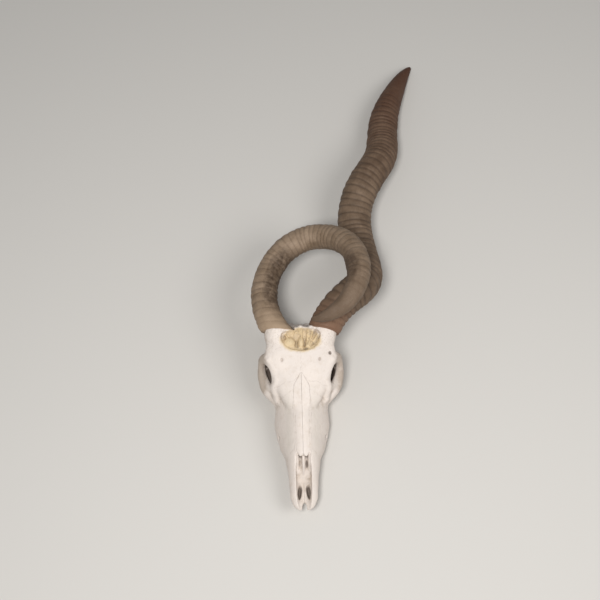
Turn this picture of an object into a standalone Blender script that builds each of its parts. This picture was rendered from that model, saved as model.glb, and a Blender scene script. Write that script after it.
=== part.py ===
# Addax skull without its lower jaw, life size, lying on the floor with its upper side up.
# Lengths are in metres. Bone is laid out in a face frame: x to the animal's left,
# y back along the face from the front of the muzzle, z out of the forehead.
# It is then turned into the resting pose: muzzle towards -Y, horns towards +Y, floor at Z = 0.

from functools import partial
from math import cos, pi, radians, sin, tan

import bmesh
import bpy
import numpy as np
from mathutils import Matrix, Vector

MM = 0.001
GAP = 0.0003
SEED = 11

# Resting pose
FACE_SLOPE = radians(12.0)
FACE_YAW = radians(1.6)
FACE_LIFT = 0.055

# Skull sizes, in millimetres in the face frame
NASAL_TIP = 84.0
NASAL_END = 212.0
NASAL_HALF_WIDTH = 15.0
ORBIT_CENTRE = (51.5, 217.0, -27.0)
ORBIT_RADIUS = 21.0
ORBIT_RIM = 6.3
ORBIT_NORMAL = (0.86, -0.32, 0.40)
PEDICLE = (38.0, 281.0, -7.0)
PEDICLE_RADIUS = 21.0
SINUS_CENTRE = (1.0, 264.0, 10.0)
SINUS_RADII = (31.0, 18.5, 17.0)
BRAINCASE_CENTRE = (0.0, 266.0, -58.0)
BRAINCASE_RADII = (35.0, 38.0, 42.0)
PAROCCIPITAL_BACK = 301.0

# Tooth row: length along the row and width across it, front to back
TOOTH_SIZES = (
    (10.0, 9.5),
    (12.0, 11.0),
    (11.5, 12.5),
    (15.0, 15.0),
    (18.0, 16.0),
    (18.5, 15.0),
)
TOOTH_ROW_START = 111.0
TOOTH_ROW_SPACE = 0.5
TOOTH_ROW_OFFSET = (24.5, 33.0)
CROWN_HEIGHT = 15.0
TOOTH_ROOT = 6.0

# Long spiral horn
SPIRAL_OUTWARD = radians(11.26)
SPIRAL_DROP = radians(9.12)
SPIRAL_LENGTH = 0.634
SPIRAL_SWING = 0.050
SPIRAL_TURNS = 2.445
SPIRAL_START_ANGLE = -1.332
SPIRAL_TIGHTENING = 0.646
SPIRAL_FADE = 1.946
SPIRAL_SPREAD = 0.0075
SPIRAL_SWAY = 0.086
SPIRAL_TIP_CURL = 0.0437
SPIRAL_RADIUS = 0.0262

# Ring horn
RING_CENTRE = (0.0120, 0.3474)
RING_RADII = (0.0777, 0.1011)
RING_START_ANGLE = radians(224.5)
RING_SWEEP = radians(317.1)
RING_CLOSING = 0.212
RING_RADIUS = 0.0194
RING_HEIGHTS = (
    (0.00, 0.1065),
    (0.10, 0.100),
    (0.25, 0.092),
    (0.45, 0.112),
    (0.60, 0.150),
    (0.72, 0.173),
    (0.86, 0.178),
    (1.00, 0.170),
)

VOXEL = 0.0020
CRANIUM_TRIANGLES = 6800

# Name, colour and roughness of each material
BONE = ("bleached bone", (0.80, 0.76, 0.70), 0.75)
RING_HORN = ("ring horn", (0.25, 0.19, 0.14), 0.55)
SPIRAL_HORN = ("spiral horn", (0.14, 0.10, 0.075), 0.50)

rng = np.random.default_rng(SEED)


def clear_scene():
    for obj in list(bpy.data.objects):
        bpy.data.objects.remove(obj, do_unlink=True)


def smooth_step(x):
    x = min(max(x, 0.0), 1.0)
    return x * x * (3.0 - 2.0 * x)


def floor_depth(s):
    """Face-frame z, in millimetres, of the floor below a point s along the face."""
    return -(FACE_LIFT / MM + s * sin(FACE_SLOPE)) / cos(FACE_SLOPE)


def face_matrix():
    turn = Matrix.Rotation(FACE_YAW, 4, "Z") @ Matrix.Rotation(FACE_SLOPE, 4, "X")
    return Matrix.Translation((0.0, 0.0, FACE_LIFT)) @ turn @ Matrix.Scale(MM, 4)


def new_object(name, mesh_builder):
    bm = bmesh.new()
    mesh_builder(bm)
    bmesh.ops.recalc_face_normals(bm, faces=bm.faces)
    mesh = bpy.data.meshes.new(name)
    bm.to_mesh(mesh)
    bm.free()
    obj = bpy.data.objects.new(name, mesh)
    bpy.context.scene.collection.objects.link(obj)
    return obj


def add_rings(bm, rings):
    """Closed skin through rings of points, with a fan cap at each end."""
    loops = [[bm.verts.new(p) for p in ring] for ring in rings]
    count = len(loops[0])
    for near, far in zip(loops, loops[1:]):
        for i in range(count):
            j = (i + 1) % count
            bm.faces.new((near[i], near[j], far[j], far[i]))
    for loop, order in ((loops[0], -1), (loops[-1], 1)):
        centre = sum((v.co for v in loop), Vector()) / count
        hub = bm.verts.new(centre)
        for i in range(count):
            j = (i + 1) % count
            pair = (loop[i], loop[j]) if order > 0 else (loop[j], loop[i])
            bm.faces.new((pair[0], pair[1], hub))


def section(s, half_width, top, widest, bottom, n_top, n_bottom, count=28):
    """Cross-section of the skull at s: a superellipse, squarer where n is larger."""
    ring = []
    for k in range(count):
        a = 2.0 * pi * k / count
        n = n_top if sin(a) >= 0.0 else n_bottom
        reach = top - widest if sin(a) >= 0.0 else widest - bottom
        x = half_width * abs(cos(a)) ** (2.0 / n) * (1 if cos(a) >= 0 else -1)
        z = widest + reach * abs(sin(a)) ** (2.0 / n) * (1 if sin(a) >= 0 else -1)
        ring.append(Vector((x, s, z)))
    return ring


def between(stations, s):
    """Values of a station table at s, eased between its rows."""
    for low, high in zip(stations, stations[1:]):
        if s <= high[0]:
            f = smooth_step((s - low[0]) / (high[0] - low[0])) * 0.4
            f += 0.6 * (s - low[0]) / (high[0] - low[0])
            return [a + (b - a) * f for a, b in zip(low[1:], high[1:])]
    return list(stations[-1][1:])


def loft(bm, stations, step=4.0):
    start, end = stations[0][0], stations[-1][0]
    count = max(2, round((end - start) / step))
    rows = [start + (end - start) * k / count for k in range(count + 1)]
    add_rings(bm, [section(s, *between(stations, s)) for s in rows])


def add_ball(bm, centre, radii, turn=None, segments=20):
    matrix = Matrix.Translation(centre) @ (turn or Matrix.Identity(4))
    matrix = matrix @ Matrix.Diagonal((*radii, 1.0))
    bmesh.ops.create_uvsphere(
        bm, u_segments=segments, v_segments=segments // 2, radius=1.0, matrix=matrix
    )


def add_tube(bm, path, radii, flat=1.0, count=14, up=(0.0, 0.0, 1.0)):
    """Rounded bar along a path; flat scales it along the direction up."""
    rings = []
    for k, point in enumerate(path):
        ahead = Vector(path[min(k + 1, len(path) - 1)])
        behind = Vector(path[max(k - 1, 0)])
        along = (ahead - behind).normalized()
        side = along.cross(Vector(up)).normalized()
        over = side.cross(along)
        ring = []
        for i in range(count):
            a = 2.0 * pi * i / count
            ring.append(
                Vector(point) + radii[k] * (cos(a) * side + flat * sin(a) * over)
            )
        rings.append(ring)
    add_rings(bm, rings)


def add_torus(bm, centre, normal, ring_radius, tube_radius, stretch=1.0):
    """Closed ring lying across its normal, longer along the face by stretch."""
    n = Vector(normal).normalized()
    along = Vector((0.0, 1.0, 0.0))
    along = (along - along.dot(n) * n).normalized()
    over = n.cross(along)
    major, minor = 28, 12
    grid = []
    for i in range(major):
        a = 2.0 * pi * i / major
        out = cos(a) * stretch * along + sin(a) * over
        row = []
        for j in range(minor):
            b = 2.0 * pi * j / minor
            offset = cos(b) * out.normalized() + sin(b) * n
            row.append(bm.verts.new(Vector(centre) + ring_radius * out + tube_radius * offset))
        grid.append(row)
    for i in range(major):
        for j in range(minor):
            a, b = (i + 1) % major, (j + 1) % minor
            bm.faces.new((grid[i][j], grid[a][j], grid[a][b], grid[i][b]))


def add_prism(bm, outline, low, high):
    """Upright block over an outline of (x, y) points."""
    lower = [bm.verts.new((x, y, low)) for x, y in outline]
    upper = [bm.verts.new((x, y, high)) for x, y in outline]
    bm.faces.new(lower[::-1])
    bm.faces.new(upper)
    count = len(outline)
    for i in range(count):
        j = (i + 1) % count
        bm.faces.new((lower[i], lower[j], upper[j], upper[i]))


def settle(obj):
    """Replaces an object's mesh by what its modifiers make of it."""
    graph = bpy.context.evaluated_depsgraph_get()
    mesh = bpy.data.meshes.new_from_object(obj.evaluated_get(graph))
    obj.modifiers.clear()
    obj.data = mesh


def remesh(obj, voxel):
    modifier = obj.modifiers.new("one skin", "REMESH")
    modifier.mode = "VOXEL"
    modifier.voxel_size = voxel
    settle(obj)


def relax(obj, factor, repeats):
    modifier = obj.modifiers.new("relax", "SMOOTH")
    modifier.factor = factor
    modifier.iterations = repeats
    settle(obj)


def combine(obj, other, operation, keep=False):
    """Boolean of obj with other; the helper is removed unless it is kept."""
    modifier = obj.modifiers.new(operation.lower(), "BOOLEAN")
    modifier.operation = operation
    modifier.solver = "EXACT"
    modifier.object = other
    settle(obj)
    if not keep:
        bpy.data.objects.remove(other, do_unlink=True)


def largest_surface(obj):
    """Keeps the largest closed surface and drops crumbs that a cut left."""
    bm = bmesh.new()
    bm.from_mesh(obj.data)
    bm.verts.ensure_lookup_table()
    seen = set()
    groups = []
    for vert in bm.verts:
        if vert.index in seen:
            continue
        seen.add(vert.index)
        stack, group = [vert], []
        while stack:
            v = stack.pop()
            group.append(v)
            for edge in v.link_edges:
                w = edge.other_vert(v)
                if w.index not in seen:
                    seen.add(w.index)
                    stack.append(w)
        groups.append(group)
    groups.sort(key=len, reverse=True)
    for group in groups[1:]:
        bmesh.ops.delete(bm, geom=group, context="VERTS")
    bm.to_mesh(obj.data)
    bm.free()


def transform(obj, matrix):
    obj.data.transform(matrix)
    obj.data.update()


def mirrored(sign, point):
    return (sign * point[0], point[1], point[2])


# Muzzle and cheeks: s, half width, top, height of the widest level, bottom,
# squareness of the upper and of the lower half
MUZZLE = (
    (0.5, 8.0, -20.0, -24.0, -28.0, 2.0, 2.0),
    (4.0, 14.5, -17.0, -24.0, -30.0, 2.0, 2.0),
    (9.0, 18.0, -15.0, -25.0, -32.0, 2.0, 2.0),
    (20.0, 21.6, -13.0, -27.0, -35.0, 2.2, 2.2),
    (50.0, 23.2, -9.0, -34.0, -43.0, 2.3, 2.2),
    (80.0, 27.6, -2.0, -44.0, -53.0, 2.1, 2.2),
    (100.0, 35.8, 0.0, -55.0, -62.0, 1.75, 2.6),
    (121.0, 41.2, 0.6, -60.0, -68.0, 1.55, 3.0),
    (139.0, 44.6, 1.0, -63.0, -72.0, 1.5, 3.2),
    (163.0, 42.0, 1.6, -60.0, -76.0, 1.6, 3.0),
    (184.0, 45.0, 2.4, -50.0, -79.0, 1.8, 2.8),
    (200.0, 45.0, 3.0, -44.0, -80.0, 2.0, 2.4),
    (213.0, 38.0, 3.0, -38.0, -70.0, 2.0, 2.0),
    (226.0, 24.0, 1.0, -34.0, -52.0, 2.0, 2.0),
)

# Forehead and roof: between and above the orbits, round the horn roots, down to the crest
FOREHEAD = (
    (160.0, 24.0, 0.0, -16.0, -28.0, 2.0, 2.0),
    (176.0, 33.0, 1.0, -17.0, -30.0, 2.1, 2.0),
    (188.0, 40.0, 2.2, -15.0, -30.0, 2.3, 2.0),
    (200.0, 41.0, 3.2, -13.0, -26.0, 2.3, 2.0),
    (217.0, 45.5, 4.6, -10.0, -24.0, 2.4, 2.0),
    (230.0, 52.0, 6.0, -9.0, -26.0, 2.6, 2.0),
    (241.0, 57.0, 7.4, -9.0, -28.0, 2.6, 2.0),
    (252.0, 55.5, 8.6, -9.0, -32.0, 2.6, 2.0),
    (263.0, 53.0, 9.5, -10.0, -40.0, 2.6, 2.0),
    (277.0, 57.5, 10.5, -9.0, -50.0, 2.6, 2.0),
    (285.0, 50.0, 7.0, -14.0, -62.0, 2.3, 2.0),
    (289.0, 41.0, -4.0, -28.0, -78.0, 2.2, 2.0),
    (295.0, 36.0, -26.0, -50.0, -94.0, 2.0, 2.0),
    (301.0, 34.0, -48.0, -66.0, -101.0, 2.0, 2.0),
    (306.0, 26.0, -66.0, -80.0, -103.0, 2.0, 2.0),
)


def bone_shells(bm):
    loft(bm, MUZZLE)
    loft(bm, FOREHEAD)
    # Wall between the orbits, and the braincase with its crest and base
    add_ball(bm, (0.0, 226.0, -36.0), (25.0, 46.0, 36.0))
    add_ball(bm, BRAINCASE_CENTRE, BRAINCASE_RADII, segments=28)
    crest = [
        (-36.0, 290.0, -80.0),
        (-28.0, 297.0, -66.0),
        (0.0, 300.5, -60.0),
        (28.0, 297.0, -66.0),
        (36.0, 290.0, -80.0),
    ]
    add_tube(bm, crest, (3.0, 4.0, 5.0, 4.0, 3.0), up=(0, 1, 0))
    add_ball(bm, (0.0, 302.0, -95.0), (26.0, 10.0, 17.0))
    base = [(0.0, 312.0, -109.0), (0.0, 292.0, -108.5), (0.0, 268.0, -101.5), (0.0, 236.0, -80.0)]
    add_tube(bm, base, (9.0, 13.0, 12.0, 10.0), flat=0.7)
    # Remains of the broken crest at the back of the opened sinus
    add_ball(bm, (1.0, 285.0, 5.0), (4.5, 4.0, 7.0))
    add_ball(bm, (17.5, 284.0, 7.0), (5.0, 4.0, 7.0))
    for sign in (-1, 1):
        side_shells(bm, sign)


def side_shells(bm, sign):
    normal = mirrored(sign, ORBIT_NORMAL)
    centre = mirrored(sign, ORBIT_CENTRE)
    add_torus(bm, centre, normal, ORBIT_RADIUS, ORBIT_RIM, stretch=1.08)
    # Cheek bone: from the face below the orbit, round it and back to the ear
    cheek = [(33, 173, -54), (44, 185, -50), (56, 197, -50), (62.5, 214, -49), (64, 230, -48)]
    add_tube(bm, [mirrored(sign, p) for p in cheek], (9.0, 10.0, 8.5, 6.5, 6.0), flat=1.25)
    arch = [
        (64, 226, -48),
        (62.5, 240, -51),
        (57.5, 252, -58),
        (52, 262, -67),
        (46, 272, -76),
        (34, 282, -80),
    ]
    add_tube(bm, [mirrored(sign, p) for p in arch], (5.5, 4.5, 4.0, 4.6, 7.0, 8.0), flat=1.5)
    bar = [(50, 238, -6), (57, 243, -18), (62, 243, -34), (63, 240, -48)]
    add_tube(bm, [mirrored(sign, p) for p in bar], (8.0, 6.0, 5.2, 5.5))
    # Floor of the orbit
    socket_floor = [(38, 196, -58), (44, 214, -60), (48, 230, -62), (49, 246, -67)]
    socket_floor = [mirrored(sign, p) for p in socket_floor]
    add_tube(bm, socket_floor, (10.0, 14.0, 12.0, 11.0), flat=0.55)
    brow = [
        (32, 169, -35),
        (36, 178, -28),
        (39, 185, -22.5),
        (41, 193, -17),
        (38, 204, -9),
        (42, 222, -6),
        (50, 238, -6),
    ]
    add_tube(bm, [mirrored(sign, p) for p in brow], (4.0, 6.2, 7.6, 8.0, 6.5, 6.0, 8.0))
    # Tear bone, between the brow and the cheek bone
    add_ball(bm, (sign * 38.0, 187.0, -34.0), (9.0, 19.0, 15.0))
    # Wing plates behind the palate
    plate = [(15.0, 196.0, -72.0), (15.0, 214.0, -76.0), (14.0, 232.0, -76.0), (11.0, 248.0, -74.0)]
    add_tube(bm, [mirrored(sign, p) for p in plate], (5.0, 4.5, 4.5, 6.0), flat=3.2)
    # Back of the skull: ear capsule, condyle and the process beside it
    add_ball(bm, (sign * 19.5, 271.0, -101.0), (8.5, 12.0, 10.5))
    add_ball(bm, (sign * 35.0, 284.0, -84.0), (9.0, 12.0, 14.0))
    tilt = Matrix.Rotation(radians(20.0), 4, "X")
    add_ball(bm, (sign * 13.0, 308.5, -105.0), (9.0, 10.0, 13.0), tilt)
    tip = floor_depth(PAROCCIPITAL_BACK)
    process = [
        (30, 292, -84),
        (30, 296, -100),
        (28.5, 299, -112),
        (27, PAROCCIPITAL_BACK, tip - 1.0),
    ]
    process = [mirrored(sign, p) for p in process]
    add_tube(bm, process, (9.0, 7.5, 5.6, 3.8), up=(0, 1, 0), flat=0.75)
    # Upper jaw edge that holds the teeth
    edge = []
    for s in (104.0, 120.0, 150.0, 180.0, 203.0):
        f = (s - TOOTH_ROW_START) / 88.0
        x = TOOTH_ROW_OFFSET[0] + (TOOTH_ROW_OFFSET[1] - TOOTH_ROW_OFFSET[0]) * f
        edge.append((sign * x, s, floor_depth(s) + CROWN_HEIGHT + 9.0))
    add_tube(bm, edge, (6.0, 9.0, 10.5, 11.0, 8.0), flat=0.95)


def nasal_opening():
    """Outline (x, s) of the open front of the nose, notched beside the nasal tips."""
    side = [
        (0.0, NASAL_TIP + 1.5),
        (4.8, NASAL_TIP - 4.0),
        (8.2, NASAL_TIP + 1.5),
        (10.8, NASAL_TIP + 10.0),
        (12.0, NASAL_TIP - 6.0),
        (12.0, 50.0),
        (11.8, 30.0),
        (11.0, 16.0),
        (9.5, 3.0),
        (8.5, -12.0),
    ]
    return [(-x, y) for x, y in side[:0:-1]] + side


def bone_hollows(bm):
    # Nasal cavity, open in front and above, running back under the nasal bones
    cavity = [
        (0, -12, -18),
        (0, 10, -16),
        (0, 30, -15),
        (0, 60, -17),
        (0, 84, -21),
        (0, 105, -31),
        (0, 150, -36),
        (0, 180, -42),
    ]
    add_tube(bm, cavity, (9.0, 10.0, 12.0, 13.0, 14.5, 18.0, 18.0, 8.0))
    add_prism(bm, nasal_opening(), -18.0, 25.0)
    # Notch between the two front lobes
    add_prism(bm, [(-4.2, -8.0), (4.2, -8.0), (3.2, 9.0), (0.0, 13.5), (-3.2, 9.0)], -60.0, 20.0)
    # Rear nasal opening behind the palate
    choana = [(0, 180, -52), (0, 205, -66), (0, 228, -84), (0, 244, -102)]
    add_tube(bm, choana, (8.0, 10.5, 11.0, 9.0), flat=1.3)
    # Hollow of the palate between the tooth rows
    roof = []
    for s in (30.0, 70.0, 110.0, 150.0, 190.0, 216.0):
        roof.append((0, s, floor_depth(s) + (10.0 if s > 90 else 19.0)))
    add_tube(bm, roof, (5.0, 9.0, 13.0, 16.0, 18.0, 18.0), flat=0.62)
    # Opened frontal sinus between the horn roots
    add_ball(bm, SINUS_CENTRE, SINUS_RADII, segments=28)
    # Foramen magnum
    add_tube(bm, [(0, 330, -95), (0, 304, -93), (0, 282, -78)], (11.5, 10.5, 8.0))
    for sign in (-1, 1):
        side_hollows(bm, sign)


def side_hollows(bm, sign):
    n = Vector(mirrored(sign, ORBIT_NORMAL)).normalized()
    centre = Vector(mirrored(sign, ORBIT_CENTRE))
    inner = ORBIT_RADIUS - 5.7
    path = [centre + 16.0 * n, centre, centre - 12.0 * n, centre - 26.0 * n, centre - 38.0 * n]
    add_tube(bm, path, (inner, inner, inner, inner - 2.0, 8.0), up=(0, 1, 0), flat=1.08)
    # Palatine fissure, supraorbital and infraorbital openings, ear opening
    fissure = [(8.8, 16.5, -25.5), (7.9, 24.0, -27.5), (6.8, 33.0, -27.5), (6.0, 40.5, -25.5)]
    add_tube(bm, [mirrored(sign, p) for p in fissure], (1.0, 3.1, 3.1, 1.0), flat=2.3)
    add_ball(bm, (sign * 30.0, 233.0, 6.5), (3.3, 4.4, 5.0))
    add_ball(bm, (sign * 34.0, 118.0, -48.0), (6.0, 6.0, 4.0))
    add_ball(bm, (sign * 43.0, 280.0, -88.0), (8.0, 4.0, 4.0))


def inner_walls(bm):
    """Thin bony walls: fanned in the opened sinus, and the divider and floor of the nose."""
    for turn in (-68.0, -42.0, -15.0, 12.0, 36.0, 62.0):
        a = radians(turn + rng.uniform(-4.0, 4.0))
        x, s, z = SINUS_CENTRE
        near = Vector((x + 4.0 + 4.0 * sin(a), s - 9.0, z - 15.0))
        far = Vector((x + 2.0 + 29.0 * sin(a), s - 9.0 + 26.0 * cos(a), z - 9.0))
        middle = (near + far) / 2.0 - Vector((0.0, 0.0, 2.0))
        add_tube(bm, [near, middle, far], (1.7, 1.5, 1.8), flat=3.6)
    divider = [(0.0, 47.0, -24.0), (0.0, 70.0, -21.0), (0.0, 90.0, -22.0), (0.0, 118.0, -30.0)]
    add_tube(bm, divider, (1.8, 1.8, 1.8, 2.0), flat=7.0)
    shelf = [(0, 41, -34), (0, 52, -28), (0, 64, -25.5), (0, 76, -30), (0, 86, -40)]
    add_tube(bm, shelf, (12.0, 14.0, 15.0, 15.0, 14.0), flat=0.40)


def horn_root(sign):
    return face_matrix() @ Vector(mirrored(sign, PEDICLE))


# Horn centre lines and thickness, for t from 0 at the root to 1 at the tip


def spiral_point(t):
    azimuth, drop = SPIRAL_OUTWARD, SPIRAL_DROP
    along = Vector((sin(azimuth) * cos(drop), cos(azimuth) * cos(drop), -sin(drop)))
    side = Vector((cos(azimuth), -sin(azimuth), 0.0))
    under = along.cross(side)
    phase = SPIRAL_START_ANGLE + 2.0 * pi * SPIRAL_TURNS * (t - SPIRAL_TIGHTENING * t * (1.0 - t))
    swing = SPIRAL_SWING * smooth_step(t / 0.16) * (1.0 - t) ** SPIRAL_FADE
    drift = SPIRAL_SPREAD * t * t + SPIRAL_SWAY * t * (1.0 - t) + SPIRAL_TIP_CURL * t**8
    point = horn_root(1) + t * SPIRAL_LENGTH * along
    return point + (swing * cos(phase) + drift) * side + swing * sin(phase) * under


def spiral_radius(t):
    root = 0.88 + 0.12 * smooth_step(t / 0.25)
    return SPIRAL_RADIUS * root * (1.0 - t**7) ** 0.8 * (1.0 - 0.024 * t) + 0.0015


def ring_height(u):
    """Height of the ring horn's centre line, eased through its named heights."""
    stations = RING_HEIGHTS
    for k in range(len(stations) - 1):
        (u0, z0), (u1, z1) = stations[k], stations[k + 1]
        if u <= u1:
            before = stations[k - 1] if k else (u0 - (u1 - u0), z0)
            after = stations[k + 2] if k + 2 < len(stations) else (u1 + (u1 - u0), z1)
            m0 = (z1 - before[1]) / (u1 - before[0])
            m1 = (after[1] - z0) / (after[0] - u0)
            f, w = (u - u0) / (u1 - u0), u1 - u0
            h = 2 * f**3 - 3 * f**2 + 1, f**3 - 2 * f**2 + f, 3 * f**2 - 2 * f**3, f**3 - f**2
            return h[0] * z0 + h[1] * w * m0 + h[2] * z1 + h[3] * w * m1
    return stations[-1][1]


def ring_point(u):
    angle = RING_START_ANGLE - RING_SWEEP * u
    shrink = 1.0 - RING_CLOSING * smooth_step((u - 0.55) / 0.45)
    x = RING_CENTRE[0] + RING_RADII[0] * shrink * cos(angle)
    y = RING_CENTRE[1] + RING_RADII[1] * shrink * sin(angle)
    return Vector((x, y, ring_height(u)))


def ring_radius(u):
    return RING_RADIUS * (1.0 - u**6) ** 0.75 * (1.0 - 0.12 * u) + 0.0015


# Square to the sheath's edge, in the face frame: straight back, and turned outwards
BASE_NORMALS = {-1: (0.04, 1.0, 0.0), 1: (0.24, 0.97, 0.0)}


def base_direction(sign):
    """Direction square to the edge of a horn's sheath."""
    turned = face_matrix().to_3x3() @ Vector(BASE_NORMALS[sign])
    return turned.normalized()


def horn_builder(sign, point, radius, ridge_height, ridge_end, length, sides=14):
    """Tube with growth ridges, which follow the slanting edge of the sheath near the skull.

    ridge_end is the share of the length that carries ridges.
    """

    def build(bm):
        stations = [0.0]
        ridged = [False]
        t = 0.010
        while t < 0.975:
            pitch = (0.0105 + 0.002 * rng.uniform(-1, 1)) / length
            if t < ridge_end:
                stations += [t, t + 0.5 * pitch]
                ridged += [True, False]
            else:
                pitch = min(0.020, 0.25 * (1.0 - t) + 0.008)
                stations += [t]
                ridged += [False]
            t += pitch
        stations += [0.985, 0.995]
        ridged += [False, False]
        side = Vector((1.0, 0.0, 0.0))
        rings = []
        for t, ridge in zip(stations, ridged):
            along = (point(min(t + 0.004, 1.0)) - point(max(t - 0.004, 0.0))).normalized()
            side = (side - side.dot(along) * along).normalized()
            over = along.cross(side)
            fade = smooth_step((ridge_end - t) / 0.12) if ridge else 0.0
            r = radius(t) + ridge_height * fade * rng.uniform(0.7, 1.2)
            facing = base_direction(sign).lerp(along, smooth_step(t / 0.12)).normalized()
            ring = []
            for i in range(sides):
                a = 2.0 * pi * i / sides
                out = r * (cos(a) * side + sin(a) * over)
                ring.append(point(t) + out - (out.dot(facing) / along.dot(facing)) * along)
            rings.append(ring)
        add_rings(bm, rings)

    return build


def tooth_outline(length, width):
    """Crown outline: two rounded lobes inside, three low ribs on the cheek side."""
    points = []
    for k in range(20):
        a = 2.0 * pi * k / 20
        u = abs(cos(a)) ** 0.62 * (1 if cos(a) >= 0 else -1)
        v = abs(sin(a)) ** 0.62 * (1 if sin(a) >= 0 else -1)
        lobe = 0.90 + 0.10 * abs(sin(pi * u)) if v < 0 else 0.96 + 0.06 * cos(2.0 * pi * u)
        points.append((v * width / 2 * lobe, u * length / 2 * 0.985))
    return points


def tooth_builder(sign, s, x, length, width):
    """Tooth from its root sunk in the jaw to its worn face on the floor, in the face frame."""

    def build(bm):
        floor = floor_depth(s)
        levels = (
            (floor + CROWN_HEIGHT + TOOTH_ROOT, 0.80),
            (floor + CROWN_HEIGHT + 1.0, 0.90),
            (floor + 0.55 * CROWN_HEIGHT, 1.0),
            (floor - 4.0, 0.97),
        )
        rings = []
        for z, share in levels:
            ring = []
            for px, py in tooth_outline(length * share, width * share):
                lean = py * -tan(FACE_SLOPE) if z > floor else 0.0
                ring.append(Vector((sign * (x + px), s + py, z + lean)))
            rings.append(ring)
        add_rings(bm, rings)

    return build


def tooth_row():
    """Place of each tooth: s, offset from the midline, length and width."""
    s = TOOTH_ROW_START
    total = sum(length for length, _ in TOOTH_SIZES) + 5 * TOOTH_ROW_SPACE
    for length, width in TOOTH_SIZES:
        middle = s + length / 2
        f = (middle - TOOTH_ROW_START) / total
        x = TOOTH_ROW_OFFSET[0] + (TOOTH_ROW_OFFSET[1] - TOOTH_ROW_OFFSET[0]) * f
        x += 1.6 * sin(pi * f)
        yield middle, x, length, width
        s += length + TOOTH_ROW_SPACE


def nasal_region(sign, grow):
    """Block that holds one nasal bone; grow widens it by half the gap."""

    def build(bm):
        # The cut in the body passes the midline, so that no thin sheet is left between the sides
        inner = -0.02 if grow > 0.0 else GAP / MM / 2
        outline = [(inner, NASAL_TIP - 12.0), (NASAL_HALF_WIDTH * 0.80 + grow, NASAL_TIP - 12.0)]
        for f in (0.15, 0.4, 0.65, 0.85):
            s = NASAL_TIP + (NASAL_END - NASAL_TIP) * f
            width = NASAL_HALF_WIDTH * (0.80 + 0.22 * sin(pi * min(f * 1.2, 1.0)))
            outline.append((width + grow, s))
        outline.append((inner + 1.5 + grow, NASAL_END + grow))
        outline.append((inner, NASAL_END + grow))
        add_prism(bm, [(sign * x, y) for x, y in outline], -6.5 - grow, 30.0)

    return build


def premaxilla_region(sign, grow):
    """Block in front of the seam between a premaxilla and the upper jaw bone.

    The seam crosses the palate behind the fissures and slants back up the side wall.
    """

    def build(bm):
        # The cut in the body passes the midline, so that no thin sheet is left between the sides
        inner = -0.02 if grow > 0.0 else GAP / MM / 2
        wall, cross = 10.5 - grow, 43.0 + grow
        levels = []
        for z, rear in ((-70.0, 46.0 + grow), (12.0, 108.0 + grow)):
            outline = [(inner, -30.0), (60.0, -30.0), (60.0, rear)]
            outline += [(wall, rear), (wall, cross), (inner, cross)]
            levels.append([bm.verts.new((sign * x, y, z)) for x, y in outline])
        lower, upper = levels
        bm.faces.new(lower)
        bm.faces.new(upper[::-1])
        for i in range(6):
            j = (i + 1) % 6
            bm.faces.new((lower[j], lower[i], upper[i], upper[j]))

    return build


def split_off(body, name, region):
    """Parts one bone from the body along a thin seam."""
    piece = bpy.data.objects.new(name, body.data.copy())
    bpy.context.scene.collection.objects.link(piece)
    combine(piece, new_object("region", region(-GAP / MM / 4)), "INTERSECT")
    combine(body, new_object("region", region(GAP / MM / 4)), "DIFFERENCE")
    largest_surface(piece)
    return piece


def cut_at_floor(obj):
    """Worn or broken flat where a piece touches the floor."""
    low = min((obj.matrix_world @ v.co).z for v in obj.data.vertices)
    if low < 0.0:
        lowered = Matrix.Translation((0.0, 0.0, -1.0))
        block = new_object("below", lambda bm: bmesh.ops.create_cube(bm, size=2.0, matrix=lowered))
        combine(obj, block, "DIFFERENCE")
        largest_surface(obj)


def join_mesh(obj, other):
    """Adds another object's mesh to obj, for one skin to be drawn over both."""
    bm = bmesh.new()
    bm.from_mesh(obj.data)
    bm.from_mesh(other.data)
    bm.to_mesh(obj.data)
    bm.free()
    bpy.data.objects.remove(other, do_unlink=True)


def pedicle_builder(sign, point):
    """Bony stub that carries a horn and ends just short of the horn's base."""

    def build(bm):
        along = base_direction(sign)
        face = point(0.0) - GAP * along
        inside = face_matrix() @ Vector(mirrored(sign, (30.0, 244.0, -20.0)))
        path = [inside, inside.lerp(face, 0.5), face - 0.006 * along, face + 0.010 * along]
        radius = PEDICLE_RADIUS * MM
        add_tube(bm, path, (0.7 * radius, 0.95 * radius, radius, radius), count=24)

    return build


def trim_at_horn(skull, sign, point, radius):
    """Cuts the bony stub square, a gap short of the horn's base, and clears the horn's path."""
    along = base_direction(sign)
    base = point(0.0) - GAP * along

    def square_cut(bm):
        add_tube(bm, [base, base + 0.018 * along], (0.030, 0.030), count=32)

    def path_cut(bm):
        steps = [0.012 + 0.014 * k for k in range(15)]
        widths = [radius(t) + 0.0052 - 0.003 * smooth_step(t / 0.12) for t in steps]
        add_tube(bm, [point(t) for t in steps], widths, count=32)

    combine(skull, new_object("square cut", square_cut), "DIFFERENCE")
    combine(skull, new_object("path cut", path_cut), "DIFFERENCE")


def build_skull():
    """The bony skull with its hollows, before it is parted into bones."""
    skull = new_object("cranium", bone_shells)
    transform(skull, face_matrix())
    for sign, point in ((-1, ring_point), (1, spiral_point)):
        join_mesh(skull, new_object("stub", pedicle_builder(sign, point)))
    remesh(skull, VOXEL)
    relax(skull, 0.5, 4)
    hollows = new_object("hollows", bone_hollows)
    transform(hollows, face_matrix())
    remesh(hollows, VOXEL)
    combine(skull, hollows, "DIFFERENCE")
    walls = new_object("walls", inner_walls)
    transform(walls, face_matrix())
    join_mesh(skull, walls)
    remesh(skull, VOXEL)
    relax(skull, 0.5, 3)
    largest_surface(skull)
    return skull


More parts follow.
